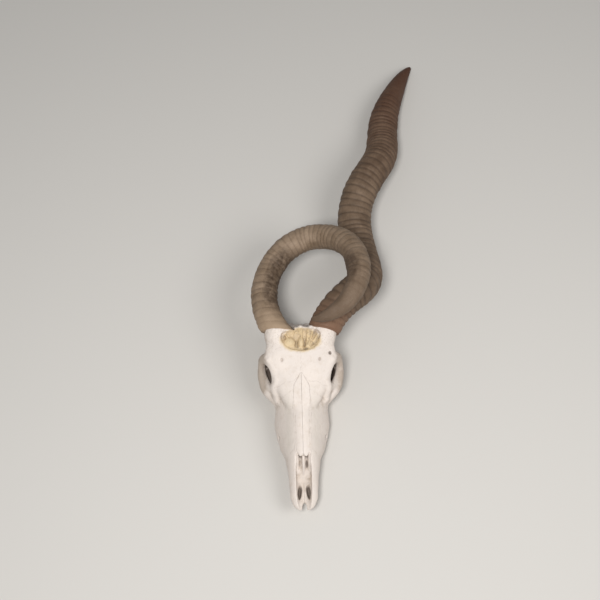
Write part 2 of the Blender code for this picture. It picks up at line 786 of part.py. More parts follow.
def decimate(obj, triangles):
    modifier = obj.modifiers.new("fewer faces", "DECIMATE")
    faces = sum(len(p.vertices) - 2 for p in obj.data.polygons)
    modifier.ratio = triangles / faces
    settle(obj)


def finish(obj, kind):
    """Gives an object a plain material of its own."""
    name, colour, roughness = kind
    material = bpy.data.materials.new(f"{obj.name} {name}")
    material.use_nodes = True
    shader = material.node_tree.nodes["Principled BSDF"]
    shader.inputs["Base Color"].default_value = (*colour, 1.0)
    shader.inputs["Roughness"].default_value = roughness
    obj.data.materials.clear()
    obj.data.materials.append(material)


def part_into_bones(skull):
    """Splits nasal bones and premaxillae off the skull and roots the teeth; face frame, mm."""
    bones = [skull]
    for side, sign in (("right", -1), ("left", 1)):
        for name, region in (("nasal", nasal_region), ("premaxilla", premaxilla_region)):
            shape = partial(region, sign)
            bones.append(split_off(skull, f"{name}_{side}", shape))
        for place in tooth_row():
            tooth = new_object("tooth", tooth_builder(sign, *place))
            combine(skull, tooth, "UNION")
    largest_surface(skull)
    return bones


def main():
    clear_scene()
    skull = build_skull()
    decimate(skull, CRANIUM_TRIANGLES)
    transform(skull, face_matrix().inverted())
    bones = part_into_bones(skull)
    for bone in bones:
        transform(bone, face_matrix())
    trim_at_horn(skull, -1, ring_point, ring_radius)
    trim_at_horn(skull, 1, spiral_point, spiral_radius)
    largest_surface(skull)
    ring = horn_builder(-1, ring_point, ring_radius, 0.0006, 0.80, 0.497)
    spiral = horn_builder(1, spiral_point, spiral_radius, 0.0014, 0.70, 0.685)
    horns = [new_object("horn_right", ring), new_object("horn_left", spiral)]
    kinds = [BONE] * len(bones) + [RING_HORN, SPIRAL_HORN]
    pieces = bones + horns
    for piece, kind in zip(pieces, kinds):
        cut_at_floor(piece)
        finish(piece, kind)
    corners = np.array([v.co for piece in pieces for v in piece.data.vertices])
    low, high = corners.min(axis=0), corners.max(axis=0)
    middle = (low + high) / 2
    print("middle of the part before centring", middle, "size", high - low)
    for piece in pieces:
        transform(piece, Matrix.Translation((-middle[0], -middle[1], 0.0)))


main()
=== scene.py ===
# %% [markdown]
# # An addax skull with one spiral horn and one ring horn
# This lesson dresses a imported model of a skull: plain solids go in, and finer bones, horns and teeth
# with worked-out surfaces take their places. Every piece is built in code, so each size can be
# changed and the lesson run again. The first step brings in the solids and keeps their box, because
# the finished pieces have to come out the same size.

# %% Load the plain solids
from math import atan2, cos, pi, radians, sin, tan

import bmesh
import bpy
import numpy as np
from mathutils import Matrix, Vector, noise
from mathutils.bvhtree import BVHTree


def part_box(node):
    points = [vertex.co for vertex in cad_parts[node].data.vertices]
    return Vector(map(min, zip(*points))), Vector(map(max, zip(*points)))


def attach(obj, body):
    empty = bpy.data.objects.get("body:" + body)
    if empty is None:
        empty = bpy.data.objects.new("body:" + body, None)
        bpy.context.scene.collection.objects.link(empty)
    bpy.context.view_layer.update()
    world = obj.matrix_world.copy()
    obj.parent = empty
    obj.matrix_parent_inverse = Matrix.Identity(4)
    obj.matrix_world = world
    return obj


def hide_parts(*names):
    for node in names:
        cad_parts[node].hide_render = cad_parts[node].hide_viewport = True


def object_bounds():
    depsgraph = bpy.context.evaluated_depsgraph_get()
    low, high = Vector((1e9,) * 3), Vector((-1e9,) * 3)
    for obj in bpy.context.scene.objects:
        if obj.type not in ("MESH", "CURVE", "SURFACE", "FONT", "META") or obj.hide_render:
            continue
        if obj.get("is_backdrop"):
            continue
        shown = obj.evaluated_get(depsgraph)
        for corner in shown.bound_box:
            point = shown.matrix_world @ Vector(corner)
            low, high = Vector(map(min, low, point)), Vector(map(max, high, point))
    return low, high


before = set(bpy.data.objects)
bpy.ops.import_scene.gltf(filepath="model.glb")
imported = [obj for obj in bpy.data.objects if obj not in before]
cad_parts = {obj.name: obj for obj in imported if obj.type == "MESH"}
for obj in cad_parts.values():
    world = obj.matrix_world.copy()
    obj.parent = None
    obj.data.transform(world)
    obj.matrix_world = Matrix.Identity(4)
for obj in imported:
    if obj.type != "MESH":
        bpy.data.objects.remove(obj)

solid_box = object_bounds()
# One seed for all that is random; without it, noise vectors would start from the clock
SEED = 23
rng = np.random.default_rng(SEED)
noise.seed_set(SEED)
print("solids:", len(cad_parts), "box", [round(v, 4) for v in solid_box[1] - solid_box[0]])

# %% [markdown]
# ## The face frame
# A skull is easiest to lay out along its own face: x out to the animal's left, s back along the face
# from the front of the muzzle, z out of the forehead, all in millimetres as on a drawing. One matrix
# then tips this frame into the resting pose on the floor. The alternative, working in the tipped
# pose, would put a sine and a cosine into every number.

# %% Face frame and resting pose
MM = 0.001
FACE_SLOPE = radians(12.0)
FACE_YAW = radians(1.6)
FACE_LIFT = 0.055
# How far the part was moved to stand over the middle of its own box
CENTRING = Vector((-0.05838, -0.44319, 0.0))

turn = Matrix.Rotation(FACE_YAW, 4, "Z") @ Matrix.Rotation(FACE_SLOPE, 4, "X")
LIFTED = Matrix.Translation((0.0, 0.0, FACE_LIFT)) @ turn @ Matrix.Scale(MM, 4)
FACE = Matrix.Translation(CENTRING) @ LIFTED
TO_FACE = FACE.inverted()


def floor_depth(s):
    """z, in the face frame, of the floor below a point s along the face."""
    return -(FACE_LIFT / MM + s * sin(FACE_SLOPE)) / cos(FACE_SLOPE)


print("front of the muzzle is", round(-floor_depth(0.0), 1), "mm above the floor")

# %% [markdown]
# ## The camera
# The camera looks down on the skull at 63 degrees, as a visitor leaning over it would. A 70 mm lens
# flattens the perspective, so the face keeps its true proportions. One point between the eye sockets
# is pinned to its place in the picture and everything else follows from the distance. One small
# function puts every new object into the scene.

# %% Set up the camera
ELEVATION = radians(63.0)
LENS = 70.0
SENSOR = 36.0
PICTURE = 600
PINNED_POINT = Vector((0.0, 217.0, 0.0))
PINNED_PIXEL = (301.0, 370.0)
DISTANCE = 1.836


def new_object(name, data):
    obj = bpy.data.objects.new(name, data)
    bpy.context.scene.collection.objects.link(obj)
    return obj


camera = new_object("camera", bpy.data.cameras.new("camera"))
camera.data.lens = LENS
camera.data.sensor_width = SENSOR
per_pixel = DISTANCE * SENSOR / LENS / PICTURE
tipped = Matrix.Rotation(pi / 2 - ELEVATION, 3, "X")
offset = Vector((
    (PINNED_PIXEL[0] - PICTURE / 2) * per_pixel,
    (PICTURE / 2 - PINNED_PIXEL[1]) * per_pixel,
    -DISTANCE,
))
camera.location = FACE @ PINNED_POINT - tipped @ offset
camera.rotation_euler = (pi / 2 - ELEVATION, 0.0, 0.0)
bpy.context.scene.camera = camera
print("one pixel is", round(per_pixel * 1000, 2), "mm on the forehead")

# %% [markdown]
# ## Two tools: the rod and the bar
# Bones and horns are long rounded things. Both start here as a plain upright rod, one cylinder cut
# into slices, and then every vertex is moved to where that slice belongs. Cutting one cylinder is
# far quicker than extruding a ring hundreds of times, and its ends are closed from the start.

# %% Rod, smooth curve and bar
def smooth_step(x):
    x = min(max(x, 0.0), 1.0)
    return x * x * (3.0 - 2.0 * x)


def rod(slices, sides):
    """New bmesh with an upright rod of radius 1 and height 1, closed at both ends."""
    bm = bmesh.new()
    bmesh.ops.create_cone(
        bm, cap_ends=True, cap_tris=False, segments=sides,
        radius1=1.0, radius2=1.0, depth=1.0, matrix=Matrix.Translation((0.0, 0.0, 0.5)),
    )
    upright = [e for e in bm.edges if abs(e.verts[0].co.z - e.verts[1].co.z) > 0.5]
    bmesh.ops.subdivide_edges(bm, edges=upright, cuts=slices - 1)
    return bm


def bend(bm, shape):
    """Moves every vertex of a rod to shape(share of the length, angle)."""
    for v in bm.verts:
        v.co = shape(v.co.z, atan2(v.co.y, v.co.x))


def pour(part, bm):
    """Adds one bmesh to another."""
    mesh = bpy.data.meshes.new("poured")
    part.to_mesh(mesh)
    part.free()
    bm.from_mesh(mesh)
    bpy.data.meshes.remove(mesh)


def curve_at(rows, t):
    """Smooth curve through rows of numbers, read at the share t of its length."""
    rows = np.asarray(rows, float)
    x = min(max(t, 0.0), 1.0) * (len(rows) - 1)
    k = min(int(x), len(rows) - 2)
    f = x - k
    before, after = rows[max(k - 1, 0)], rows[min(k + 2, len(rows) - 1)]
    a, b = rows[k], rows[k + 1]
    pull = (2 * before - 5 * a + 4 * b - after) * f * f + (3 * a - before - 3 * b + after) * f**3
    return a + 0.5 * ((b - before) * f + pull)


def bar(bm, path, radii, flat=1.0, up=(0.0, 0.0, 1.0), sides=28, per_span=6):
    """Rounded bar along a path of points; flat scales it along the direction up."""
    slices = per_span * (len(path) - 1)
    places = {}
    for k in range(slices + 1):
        t = k / slices
        here = Vector(curve_at(path, t))
        along = Vector(curve_at(path, t + 0.02)) - Vector(curve_at(path, t - 0.02))
        side = along.cross(Vector(up)).normalized()
        over = side.cross(along).normalized()
        radius = float(curve_at([[r] for r in radii], t)[0])
        places[k] = (here, radius * side, radius * flat * over)

    def shape(t, angle):
        here, side, over = places[round(t * slices)]
        return here + cos(angle) * side + sin(angle) * over

    part = rod(slices, sides)
    bend(part, shape)
    pour(part, bm)


SIDES = (("right", -1), ("left", 1))


def mirrored(sign, point):
    return (sign * point[0], point[1], point[2])


def mirrored_bar(bm, sign, path, radii, **options):
    """Bar of the left half, or with sign -1 its mirror image on the right."""
    bar(bm, [mirrored(sign, p) for p in path], radii, **options)


def ball(bm, centre, radii, turned=Matrix.Identity(4)):
    matrix = Matrix.Translation(centre) @ turned @ Matrix.Diagonal((*radii, 1.0))
    bmesh.ops.create_icosphere(bm, subdivisions=4, radius=1.0, matrix=matrix)


trial = bmesh.new()
bar(trial, [(0, 0, 0), (10, 0, 0), (20, 5, 0)], (3, 3, 2))
print("a trial bar has", len(trial.faces), "faces")
trial.free()

# %% [markdown]
# ## Objects and modifiers
# Overlapping rods and balls are not yet a bone. A voxel remesh draws one skin over them all, as
# papier-mache would, a little smoothing takes the steps out, and Booleans carve the openings. Each
# modifier is applied at once, so that the next step starts from a plain mesh.

# %% Make, settle and combine objects
def as_object(name, bm):
    """Object from a bmesh, with its normals out."""
    bmesh.ops.recalc_face_normals(bm, faces=bm.faces)
    mesh = bpy.data.meshes.new(name)
    bm.to_mesh(mesh)
    bm.free()
    return new_object(name, mesh)


def make(name, build):
    """Object from a function that fills a bmesh."""
    bm = bmesh.new()
    build(bm)
    return as_object(name, bm)


def settle(obj):
    """Keeps what the object's modifiers make of its mesh."""
    graph = bpy.context.evaluated_depsgraph_get()
    old = obj.data
    made = bpy.data.meshes.new_from_object(obj.evaluated_get(graph))
    obj.modifiers.clear()
    obj.data = made
    bpy.data.meshes.remove(old)


def one_skin(obj, voxel, factor, repeats):
    """Voxel remesh, then smoothing."""
    skin = obj.modifiers.new("one skin", "REMESH")
    skin.mode = "VOXEL"
    skin.voxel_size = voxel
    soften = obj.modifiers.new("soften", "SMOOTH")
    soften.factor = factor
    soften.iterations = repeats
    settle(obj)


def combine(obj, other, operation, keep=False):
    boolean = obj.modifiers.new(operation.lower(), "BOOLEAN")
    boolean.operation = operation
    boolean.solver = "MANIFOLD"
    boolean.object = other
    settle(obj)
    if not keep:
        bpy.data.objects.remove(other, do_unlink=True)


def keep_above_floor(mesh):
    for v in mesh.vertices:
        v.co.z = max(v.co.z, 0.0)


def drop_scraps(obj):
    """Keeps the largest connected surface."""
    bm = bmesh.new()
    bm.from_mesh(obj.data)
    left, groups = set(bm.verts), []
    while left:
        stack, group = [left.pop()], []
        while stack:
            v = stack.pop()
            group.append(v)
            near = {e.other_vert(v) for e in v.link_edges} & left
            left -= near
            stack.extend(near)
        groups.append(group)
    groups.sort(key=len)
    for group in groups[:-1]:
        bmesh.ops.delete(bm, geom=group, context="VERTS")
    bm.to_mesh(obj.data)
    bm.free()


print("modifiers are settled one at a time")

# %% [markdown]
# ## Horn lines
# The skull needs to know where the horns stand before it can be built, so the two horn lines come
# first. The left horn is a long open spiral: a point swings round a straight axis, wide at first and
# less towards the tip. The right horn grew wrongly and curls over in a flat ring, whose height is
# eased through a few chosen levels so that it passes clear over the spiral.

# %% Centre lines and thickness of both horns
PEDICLE = (38.0, 281.0, -7.0)
PEDICLE_RADIUS = 21.0
GAP = 0.3

SPIRAL_OUTWARD = radians(11.26)
SPIRAL_DROP = radians(9.12)
SPIRAL_LENGTH = 0.634
SPIRAL_SWING = 0.050
SPIRAL_TURNS = 2.445
SPIRAL_START_ANGLE = -1.332
SPIRAL_TIGHTENING = 0.646
SPIRAL_FADE = 1.946
SPIRAL_SPREAD = 0.0075
SPIRAL_SWAY = 0.086
SPIRAL_TIP_CURL = 0.0437
SPIRAL_RADIUS = 0.0262

RING_CENTRE = (0.0120, 0.3474)
RING_RADII = (0.0777, 0.1011)
RING_START_ANGLE = radians(224.5)
RING_SWEEP = radians(317.1)
RING_CLOSING = 0.212
RING_RADIUS = 0.0194
# Share of the ring's length, and height of its centre line there
RING_HEIGHTS = (
    (0.00, 0.1065), (0.10, 0.100), (0.25, 0.092), (0.45, 0.112),
    (0.60, 0.150), (0.72, 0.173), (0.86, 0.178), (1.00, 0.170),
)
# Square to the edge of each sheath, in the face frame
BASE_NORMALS = {-1: (0.04, 1.0, 0.0), 1: (0.24, 0.97, 0.0)}


def spiral_point(t):
    drop = SPIRAL_DROP
    along = Vector((sin(SPIRAL_OUTWARD) * cos(drop), cos(SPIRAL_OUTWARD) * cos(drop), -sin(drop)))
    side = Vector((cos(SPIRAL_OUTWARD), -sin(SPIRAL_OUTWARD), 0.0))
    under = along.cross(side)
    phase = SPIRAL_START_ANGLE + 2.0 * pi * SPIRAL_TURNS * (t - SPIRAL_TIGHTENING * t * (1.0 - t))
    swing = SPIRAL_SWING * smooth_step(t / 0.16) * (1.0 - t) ** SPIRAL_FADE
    drift = SPIRAL_SPREAD * t * t + SPIRAL_SWAY * t * (1.0 - t) + SPIRAL_TIP_CURL * t**8
    point = FACE @ Vector(PEDICLE) + t * SPIRAL_LENGTH * along
    return point + (swing * cos(phase) + drift) * side + swing * sin(phase) * under


def spiral_radius(t):
    root = 0.88 + 0.12 * smooth_step(t / 0.25)
    return SPIRAL_RADIUS * root * (1.0 - t**7) ** 0.8 * (1.0 - 0.024 * t) + 0.0015


def ring_height(u):
    """Height of the ring's centre line, on a smooth curve through its named heights."""
    stations = RING_HEIGHTS
    k = max(i for i in range(len(stations) - 1) if u >= stations[i][0])
    (u0, z0), (u1, z1) = stations[k], stations[k + 1]
    before = stations[k - 1] if k else (2 * u0 - u1, z0)
    after = stations[k + 2] if k + 2 < len(stations) else (2 * u1 - u0, z1)
    wide = u1 - u0
    m0 = wide * (z1 - before[1]) / (u1 - before[0])
    m1 = wide * (after[1] - z0) / (after[0] - u0)
    f = (u - u0) / wide
    return ((2 * f**3 - 3 * f**2 + 1) * z0 + (f**3 - 2 * f**2 + f) * m0
            + (3 * f**2 - 2 * f**3) * z1 + (f**3 - f**2) * m1)


def ring_point(u):
    angle = RING_START_ANGLE - RING_SWEEP * u
    shrink = 1.0 - RING_CLOSING * smooth_step((u - 0.55) / 0.45)
    x = RING_CENTRE[0] + RING_RADII[0] * shrink * cos(angle)
    y = RING_CENTRE[1] + RING_RADII[1] * shrink * sin(angle)
    return Vector((x, y, ring_height(u))) + CENTRING


def ring_radius(u):
    return RING_RADIUS * (1.0 - u**6) ** 0.75 * (1.0 - 0.12 * u) + 0.0015


def base_direction(sign):
    return (FACE.to_3x3() @ Vector(BASE_NORMALS[sign])).normalized()


def line_length(point, steps=400):
    return sum((point((k + 1) / steps) - point(k / steps)).length for k in range(steps))


HORNS = {-1: (ring_point, ring_radius), 1: (spiral_point, spiral_radius)}
HORN_LENGTHS = {sign: line_length(HORNS[sign][0]) for sign in HORNS}
print("horn lengths in mm:", {sign: round(length * 1000) for sign, length in HORN_LENGTHS.items()})

# %% [markdown]
# ## The main bones of the skull
# From the front an addax skull is a long wedge: narrow premaxillae, a deep upper jaw, wide rims
# round the eyes, then a waist below the horns. Two lofts carry the muzzle and the forehead, and each
# row of their tables is one cross-section. The rows are superellipses, because a skull's section is
# neither round nor square.

# %% Lofts of the muzzle and the forehead
# s, half width, top, height of the widest level, bottom, squareness above and below
MUZZLE = (
    (0.5, 8, -20, -24, -28, 2, 2),
    (4, 14.5, -17, -24, -30, 2, 2),
    (9, 18, -15, -25, -32, 2, 2),
    (20, 21.6, -13, -27, -35, 2.2, 2.2),
    (50, 23.2, -9, -34, -43, 2.3, 2.2),
    (80, 27.6, -2, -44, -53, 2.1, 2.2),
    (100, 35.8, 0, -55, -62, 1.75, 2.6),
    (121, 41.2, 0.6, -60, -68, 1.55, 3),
    (139, 44.6, 1, -63, -72, 1.5, 3.2),
    (163, 42, 1.6, -60, -76, 1.6, 3),
    (184, 45, 2.4, -50, -79, 1.8, 2.8),
    (200, 45, 3, -44, -80, 2, 2.4),
    (213, 38, 3, -38, -70, 2, 2),
    (226, 24, 1, -34, -52, 2, 2),
)
FOREHEAD = (
    (160, 24, 0, -16, -28, 2, 2),
    (176, 33, 1, -17, -30, 2.1, 2),
    (188, 40, 2.2, -15, -30, 2.3, 2),
    (200, 41, 3.2, -13, -26, 2.3, 2),
    (217, 45.5, 4.6, -10, -24, 2.4, 2),
    (230, 52, 6, -9, -26, 2.6, 2),
    (241, 57, 7.4, -9, -28, 2.6, 2),
    (252, 55.5, 8.6, -9, -32, 2.6, 2),
    (263, 53, 9.5, -10, -40, 2.6, 2),
    (277, 57.5, 10.5, -9, -50, 2.6, 2),
    (285, 50, 7, -14, -62, 2.3, 2),
    (289, 41, -4, -28, -78, 2.2, 2),
    (295, 36, -26, -50, -94, 2, 2),
    (301, 34, -48, -66, -101, 2, 2),
    (306, 26, -66, -80, -103, 2, 2),
)


def station(table, s):
    """One row of a loft table at s, eased between its rows."""
    for low, high in zip(table, table[1:]):
        if s <= high[0]:
            f = (s - low[0]) / (high[0] - low[0])
            f = 0.4 * smooth_step(f) + 0.6 * f
            return [a + (b - a) * f for a, b in zip(low[1:], high[1:])]
    return list(table[-1][1:])


def loft(bm, table, slice_length=2.0):
    start, end = table[0][0], table[-1][0]

    def shape(t, angle):
        s = start + (end - start) * t
        half_width, top, widest, bottom, square_top, square_bottom = station(table, s)
        above = sin(angle) >= 0.0
        power = 2.0 / (square_top if above else square_bottom)
        reach = top - widest if above else bottom - widest
        x = half_width * abs(cos(angle)) ** power * (1 if cos(angle) >= 0 else -1)
        return Vector((x, s, widest + reach * abs(sin(angle)) ** power))

    part = rod(round((end - start) / slice_length), 72)
    bend(part, shape)
    pour(part, bm)


def main_bones(bm):
    loft(bm, MUZZLE)
    loft(bm, FOREHEAD)


trial = make("trial", main_bones)
print("lofts:", len(trial.data.polygons), "faces")
bpy.data.objects.remove(trial, do_unlink=True)

# %% [markdown]
# ## Braincase, eye sockets, cheek bones and jaw edge
# The rest of the skull hangs on the lofts. The eye socket is a tube of bone with a rolled rim, which
# is a circle spun round the socket's axis. The cheek bone starts on the face below the eye, rounds
# the socket and thins into the arch that runs back to the ear. Behind, a small steep braincase ends
# in the condyles, with a downward process beside each.

# %% Shapes beside and behind the lofts
ORBIT_CENTRE = (51.5, 217, -27)
ORBIT_RADIUS = 21.0
ORBIT_RIM = 6.3
ORBIT_NORMAL = (0.86, -0.32, 0.40)
ORBIT_STRETCH = 1.08
BRAINCASE_CENTRE = (0, 266, -58)
BRAINCASE_RADII = (35, 38, 42)
PAROCCIPITAL_BACK = 301.0
TOOTH_ROW_START = 111.0
TOOTH_ROW_OFFSET = (24.5, 33.0)
CROWN_HEIGHT = 15.0


def socket_rim(bm, sign):
    """Rolled rim of an eye socket: a small circle spun round the socket's axis."""
    axis = Vector(mirrored(sign, ORBIT_NORMAL)).normalized()
    centre = Vector(mirrored(sign, ORBIT_CENTRE))
    along = (Vector((0.0, 1.0, 0.0)) - axis.y * axis).normalized()
    upright = Matrix((along, axis, along.cross(axis))).transposed().to_4x4()
    seat = Matrix.Translation(centre + ORBIT_RADIUS * along) @ upright
    rim = bmesh.new()
    bmesh.ops.create_circle(rim, cap_ends=False, segments=20, radius=ORBIT_RIM, matrix=seat)
    bmesh.ops.spin(
        rim, geom=list(rim.edges), cent=centre, axis=axis, angle=2.0 * pi, steps=56,
        use_merge=True, use_duplicate=False,
    )
    for v in rim.verts:
        v.co += (ORBIT_STRETCH - 1.0) * (v.co - centre).dot(along) * along
    pour(rim, bm)


def tooth_row_x(s, row_length=88.0):
    """Offset of the tooth row from the midline at s."""
    f = (s - TOOTH_ROW_START) / row_length
    return TOOTH_ROW_OFFSET[0] + (TOOTH_ROW_OFFSET[1] - TOOTH_ROW_OFFSET[0]) * f


# Each bar of the left side as its path, its radii and how flat it is
SIDE_BARS = {
    "cheek bone": (
        [(33, 173, -54), (44, 185, -50), (56, 197, -50), (62.5, 214, -49), (64, 230, -48)],
        (9, 10, 8.5, 6.5, 6), 1.25,
    ),
    "cheek arch": (
        [
            (64, 226, -48), (62.5, 240, -51), (57.5, 252, -58),
            (52, 262, -67), (46, 272, -76), (34, 282, -80),
        ],
        (5.5, 4.5, 4, 4.6, 7, 8), 1.5,
    ),
    "bar behind the eye": (
        [(50, 238, -6), (57, 243, -18), (62, 243, -34), (63, 240, -48)],
        (8, 6, 5.2, 5.5), 1,
    ),
    "floor of the socket": (
        [(38, 196, -58), (44, 214, -60), (48, 230, -62), (49, 246, -67)],
        (10, 14, 12, 11), 0.55,
    ),
    "brow": (
        [
            (32, 169, -35), (36, 178, -28), (39, 185, -22.5), (41, 193, -17),
            (38, 204, -9), (42, 222, -6), (50, 238, -6),
        ],
        (4, 6.2, 7.6, 8, 6.5, 6, 8), 1,
    ),
    "wing of the palate": (
        [(15, 196, -72), (15, 214, -76), (14, 232, -76), (11, 248, -74)],
        (5, 4.5, 4.5, 6), 3.2,
    ),
}
# Centre and radii: tear bone, ear capsule, swelling behind the arch
SIDE_BALLS = (
    ((38, 187, -34), (9, 19, 15)),
    ((19.5, 271, -101), (8.5, 12, 10.5)),
    ((35, 284, -84), (9, 12, 14)),
)


def side_bones(bm, sign):
    socket_rim(bm, sign)
    for path, radii, flat in SIDE_BARS.values():
        mirrored_bar(bm, sign, path, radii, flat=flat)
    for centre, radii in SIDE_BALLS:
        ball(bm, mirrored(sign, centre), radii)
    condyle_tilt = Matrix.Rotation(radians(20.0), 4, "X")
    ball(bm, (sign * 13, 308.5, -105), (9, 10, 13), condyle_tilt)
    tip = floor_depth(PAROCCIPITAL_BACK) - 1.0
    process = [(30, 292, -84), (30, 296, -100), (28.5, 299, -112), (27, PAROCCIPITAL_BACK, tip)]
    mirrored_bar(bm, sign, process, (9, 7.5, 5.6, 3.8), up=(0, 1, 0), flat=0.75)
    jaw_edge = []
    for s in (104, 120, 150, 180, 203):
        jaw_edge.append((tooth_row_x(s), s, floor_depth(s) + CROWN_HEIGHT + 9))
    mirrored_bar(bm, sign, jaw_edge, (6, 9, 10.5, 11, 8), flat=0.95)


def pedicle(bm, sign):
    """Bony stub under a horn, ending just short of the sheath."""
    point = HORNS[sign][0]
    along = (TO_FACE.to_3x3() @ base_direction(sign)).normalized()
    face = TO_FACE @ point(0.0) - GAP * along
    inside = Vector(mirrored(sign, (30.0, 244.0, -20.0)))
    path = [inside, inside.lerp(face, 0.5), face - 6.0 * along, face + 10.0 * along]
    r = PEDICLE_RADIUS
    bar(bm, path, (0.7 * r, 0.95 * r, r, r), sides=40)


def skull_shells(bm):
    main_bones(bm)
    # Bone between the eyes, braincase, crest across the back of the head and bone below it
    ball(bm, (0, 226, -36), (25, 46, 36))
    ball(bm, BRAINCASE_CENTRE, BRAINCASE_RADII)
    crest = [(-36, 290, -80), (-28, 297, -66), (0, 300.5, -60), (28, 297, -66), (36, 290, -80)]
    bar(bm, crest, (3, 4, 5, 4, 3), up=(0, 1, 0))
    ball(bm, (0, 302, -95), (26, 10, 17))
    base = [(0, 312, -109), (0, 292, -108.5), (0, 268, -101.5), (0, 236, -80)]
    bar(bm, base, (9, 13, 12, 10), flat=0.7)
    # Two knobs at the rear rim of the sinus
    ball(bm, (1, 285, 5), (4.5, 4, 7))
    ball(bm, (17.5, 284, 7), (5, 4, 7))
    for sign in (-1, 1):
        side_bones(bm, sign)
        pedicle(bm, sign)


VOXEL = 1.4
skull = make("cranium_bone", skull_shells)
one_skin(skull, VOXEL, 0.5, 8)
print("one skin over all shells:", len(skull.data.polygons), "faces")

# %% [markdown]
# ## Openings
# What makes a skull a skull is its holes: the sockets, the open nose with its notched tips, the
# slits in the palate, the hole for the spinal cord, and here a frontal sinus broken open between
# the horns. The holes are modelled as solid shapes, given one skin of their own and then carved out
# together, so that their edges come out rounded as on real bone.

# %% Carve the openings
NASAL_TIP = 84.0
SINUS_CENTRE = (1, 264, 10)
SINUS_RADII = (31, 18.5, 17)
# Centre and radii of the holes on each side: above the eye, in the upper jaw, at the ear
SMALL_HOLES = (
    ((30, 233, 6.5), (3.3, 4.4, 5)),
    ((34, 118, -48), (6, 6, 4)),
    ((43, 280, -88), (8, 4, 4)),
)
# Centre and radii of the lobes that make up the sinus's ragged outline
SINUS_LOBES = (
    (1, 263, 10, 29, 16.5, 15),
    (-20, 268, 10, 11, 11, 13),
    (-9, 273, 10, 10, 10.5, 12),
    (7, 275, 10, 9, 8.5, 12),
    (21, 271, 10, 11, 10.5, 12.5),
)


def block(bm, outline, low, high):
    """Upright block over an outline of (x, s) points."""
    face = bm.faces.new([bm.verts.new((x, s, low)) for x, s in outline])
    raised = bmesh.ops.extrude_face_region(bm, geom=[face])
    tops = [g for g in raised["geom"] if isinstance(g, bmesh.types.BMVert)]
    bmesh.ops.translate(bm, verts=tops, vec=(0.0, 0.0, high - low))


def nose_outline():
    side = [
        (0, NASAL_TIP + 1.5), (4.8, NASAL_TIP - 4), (8.2, NASAL_TIP + 1.5), (10.8, NASAL_TIP + 10),
        (12, NASAL_TIP - 6), (12, 50), (11.8, 30), (11, 16), (9.5, 3), (8.5, -12),
    ]
    return [(-x, s) for x, s in side[:0:-1]] + side


def side_openings(bm, sign):
    axis = Vector(mirrored(sign, ORBIT_NORMAL)).normalized()
    centre = Vector(mirrored(sign, ORBIT_CENTRE))
    wide = ORBIT_RADIUS - 5.7
    path = [centre + depth * axis for depth in (16.0, 0.0, -12.0, -26.0, -38.0)]
    bar(bm, path, (wide, wide, wide, wide - 2, 8), up=(0, 1, 0), flat=ORBIT_STRETCH)
    slit = [(8.8, 16.5, -25.5), (7.9, 24, -27.5), (6.8, 33, -27.5), (6, 40.5, -25.5)]
    mirrored_bar(bm, sign, slit, (1, 3.1, 3.1, 1), flat=2.3)
    for centre, radii in SMALL_HOLES:
        ball(bm, mirrored(sign, centre), radii)


def openings(bm):
    # Nose, notch between the tips of the muzzle, passage to the throat and vault of the palate
    cavity = (
        (-12, -18), (10, -16), (30, -15), (60, -17), (84, -21), (105, -31), (150, -36), (180, -42),
    )
    bar(bm, [(0, s, z) for s, z in cavity], (9, 10, 12, 13, 14.5, 18, 18, 8))
    block(bm, nose_outline(), -18.0, 25.0)
    block(bm, [(-4.2, -8), (4.2, -8), (3.2, 9), (0, 13.5), (-3.2, 9)], -60, 20)
    choana = [(0, 180, -52), (0, 205, -66), (0, 228, -84), (0, 244, -102)]
    bar(bm, choana, (8, 10.5, 11, 9), flat=1.3)
    palate = [(0, s, floor_depth(s) + (10.0 if s > 90 else 19)) for s in (30, 70, 110, 150, 190, 216)]
    bar(bm, palate, (5, 9, 13, 16, 18, 18), flat=0.62)
    # Sinus, hole for the spinal cord and hole above the left eye
    for x, s, z, *radii in SINUS_LOBES:
        ball(bm, (x, s, z), radii)
    bar(bm, [(0, 330, -95), (0, 304, -93), (0, 282, -78)], (11.5, 10.5, 8))
    ball(bm, (47, 243, 5), (3.8, 4, 6))
    for sign in (-1, 1):
        side_openings(bm, sign)


holes = make("holes", openings)
one_skin(holes, VOXEL, 0.5, 2)
combine(skull, holes, "DIFFERENCE")
print("carved skull:", len(skull.data.polygons), "faces")

# %% [markdown]
# ## Thin walls inside the openings
# An opened sinus shows thin walls that fan out and brace the roof. The nose is divided by an upright
# sheet of bone, and on each side of it hang the rolled turbinates, which leave only two dark slots.
# They are thin flat bars set into the carved skull, and a second skin then blends their feet into it.

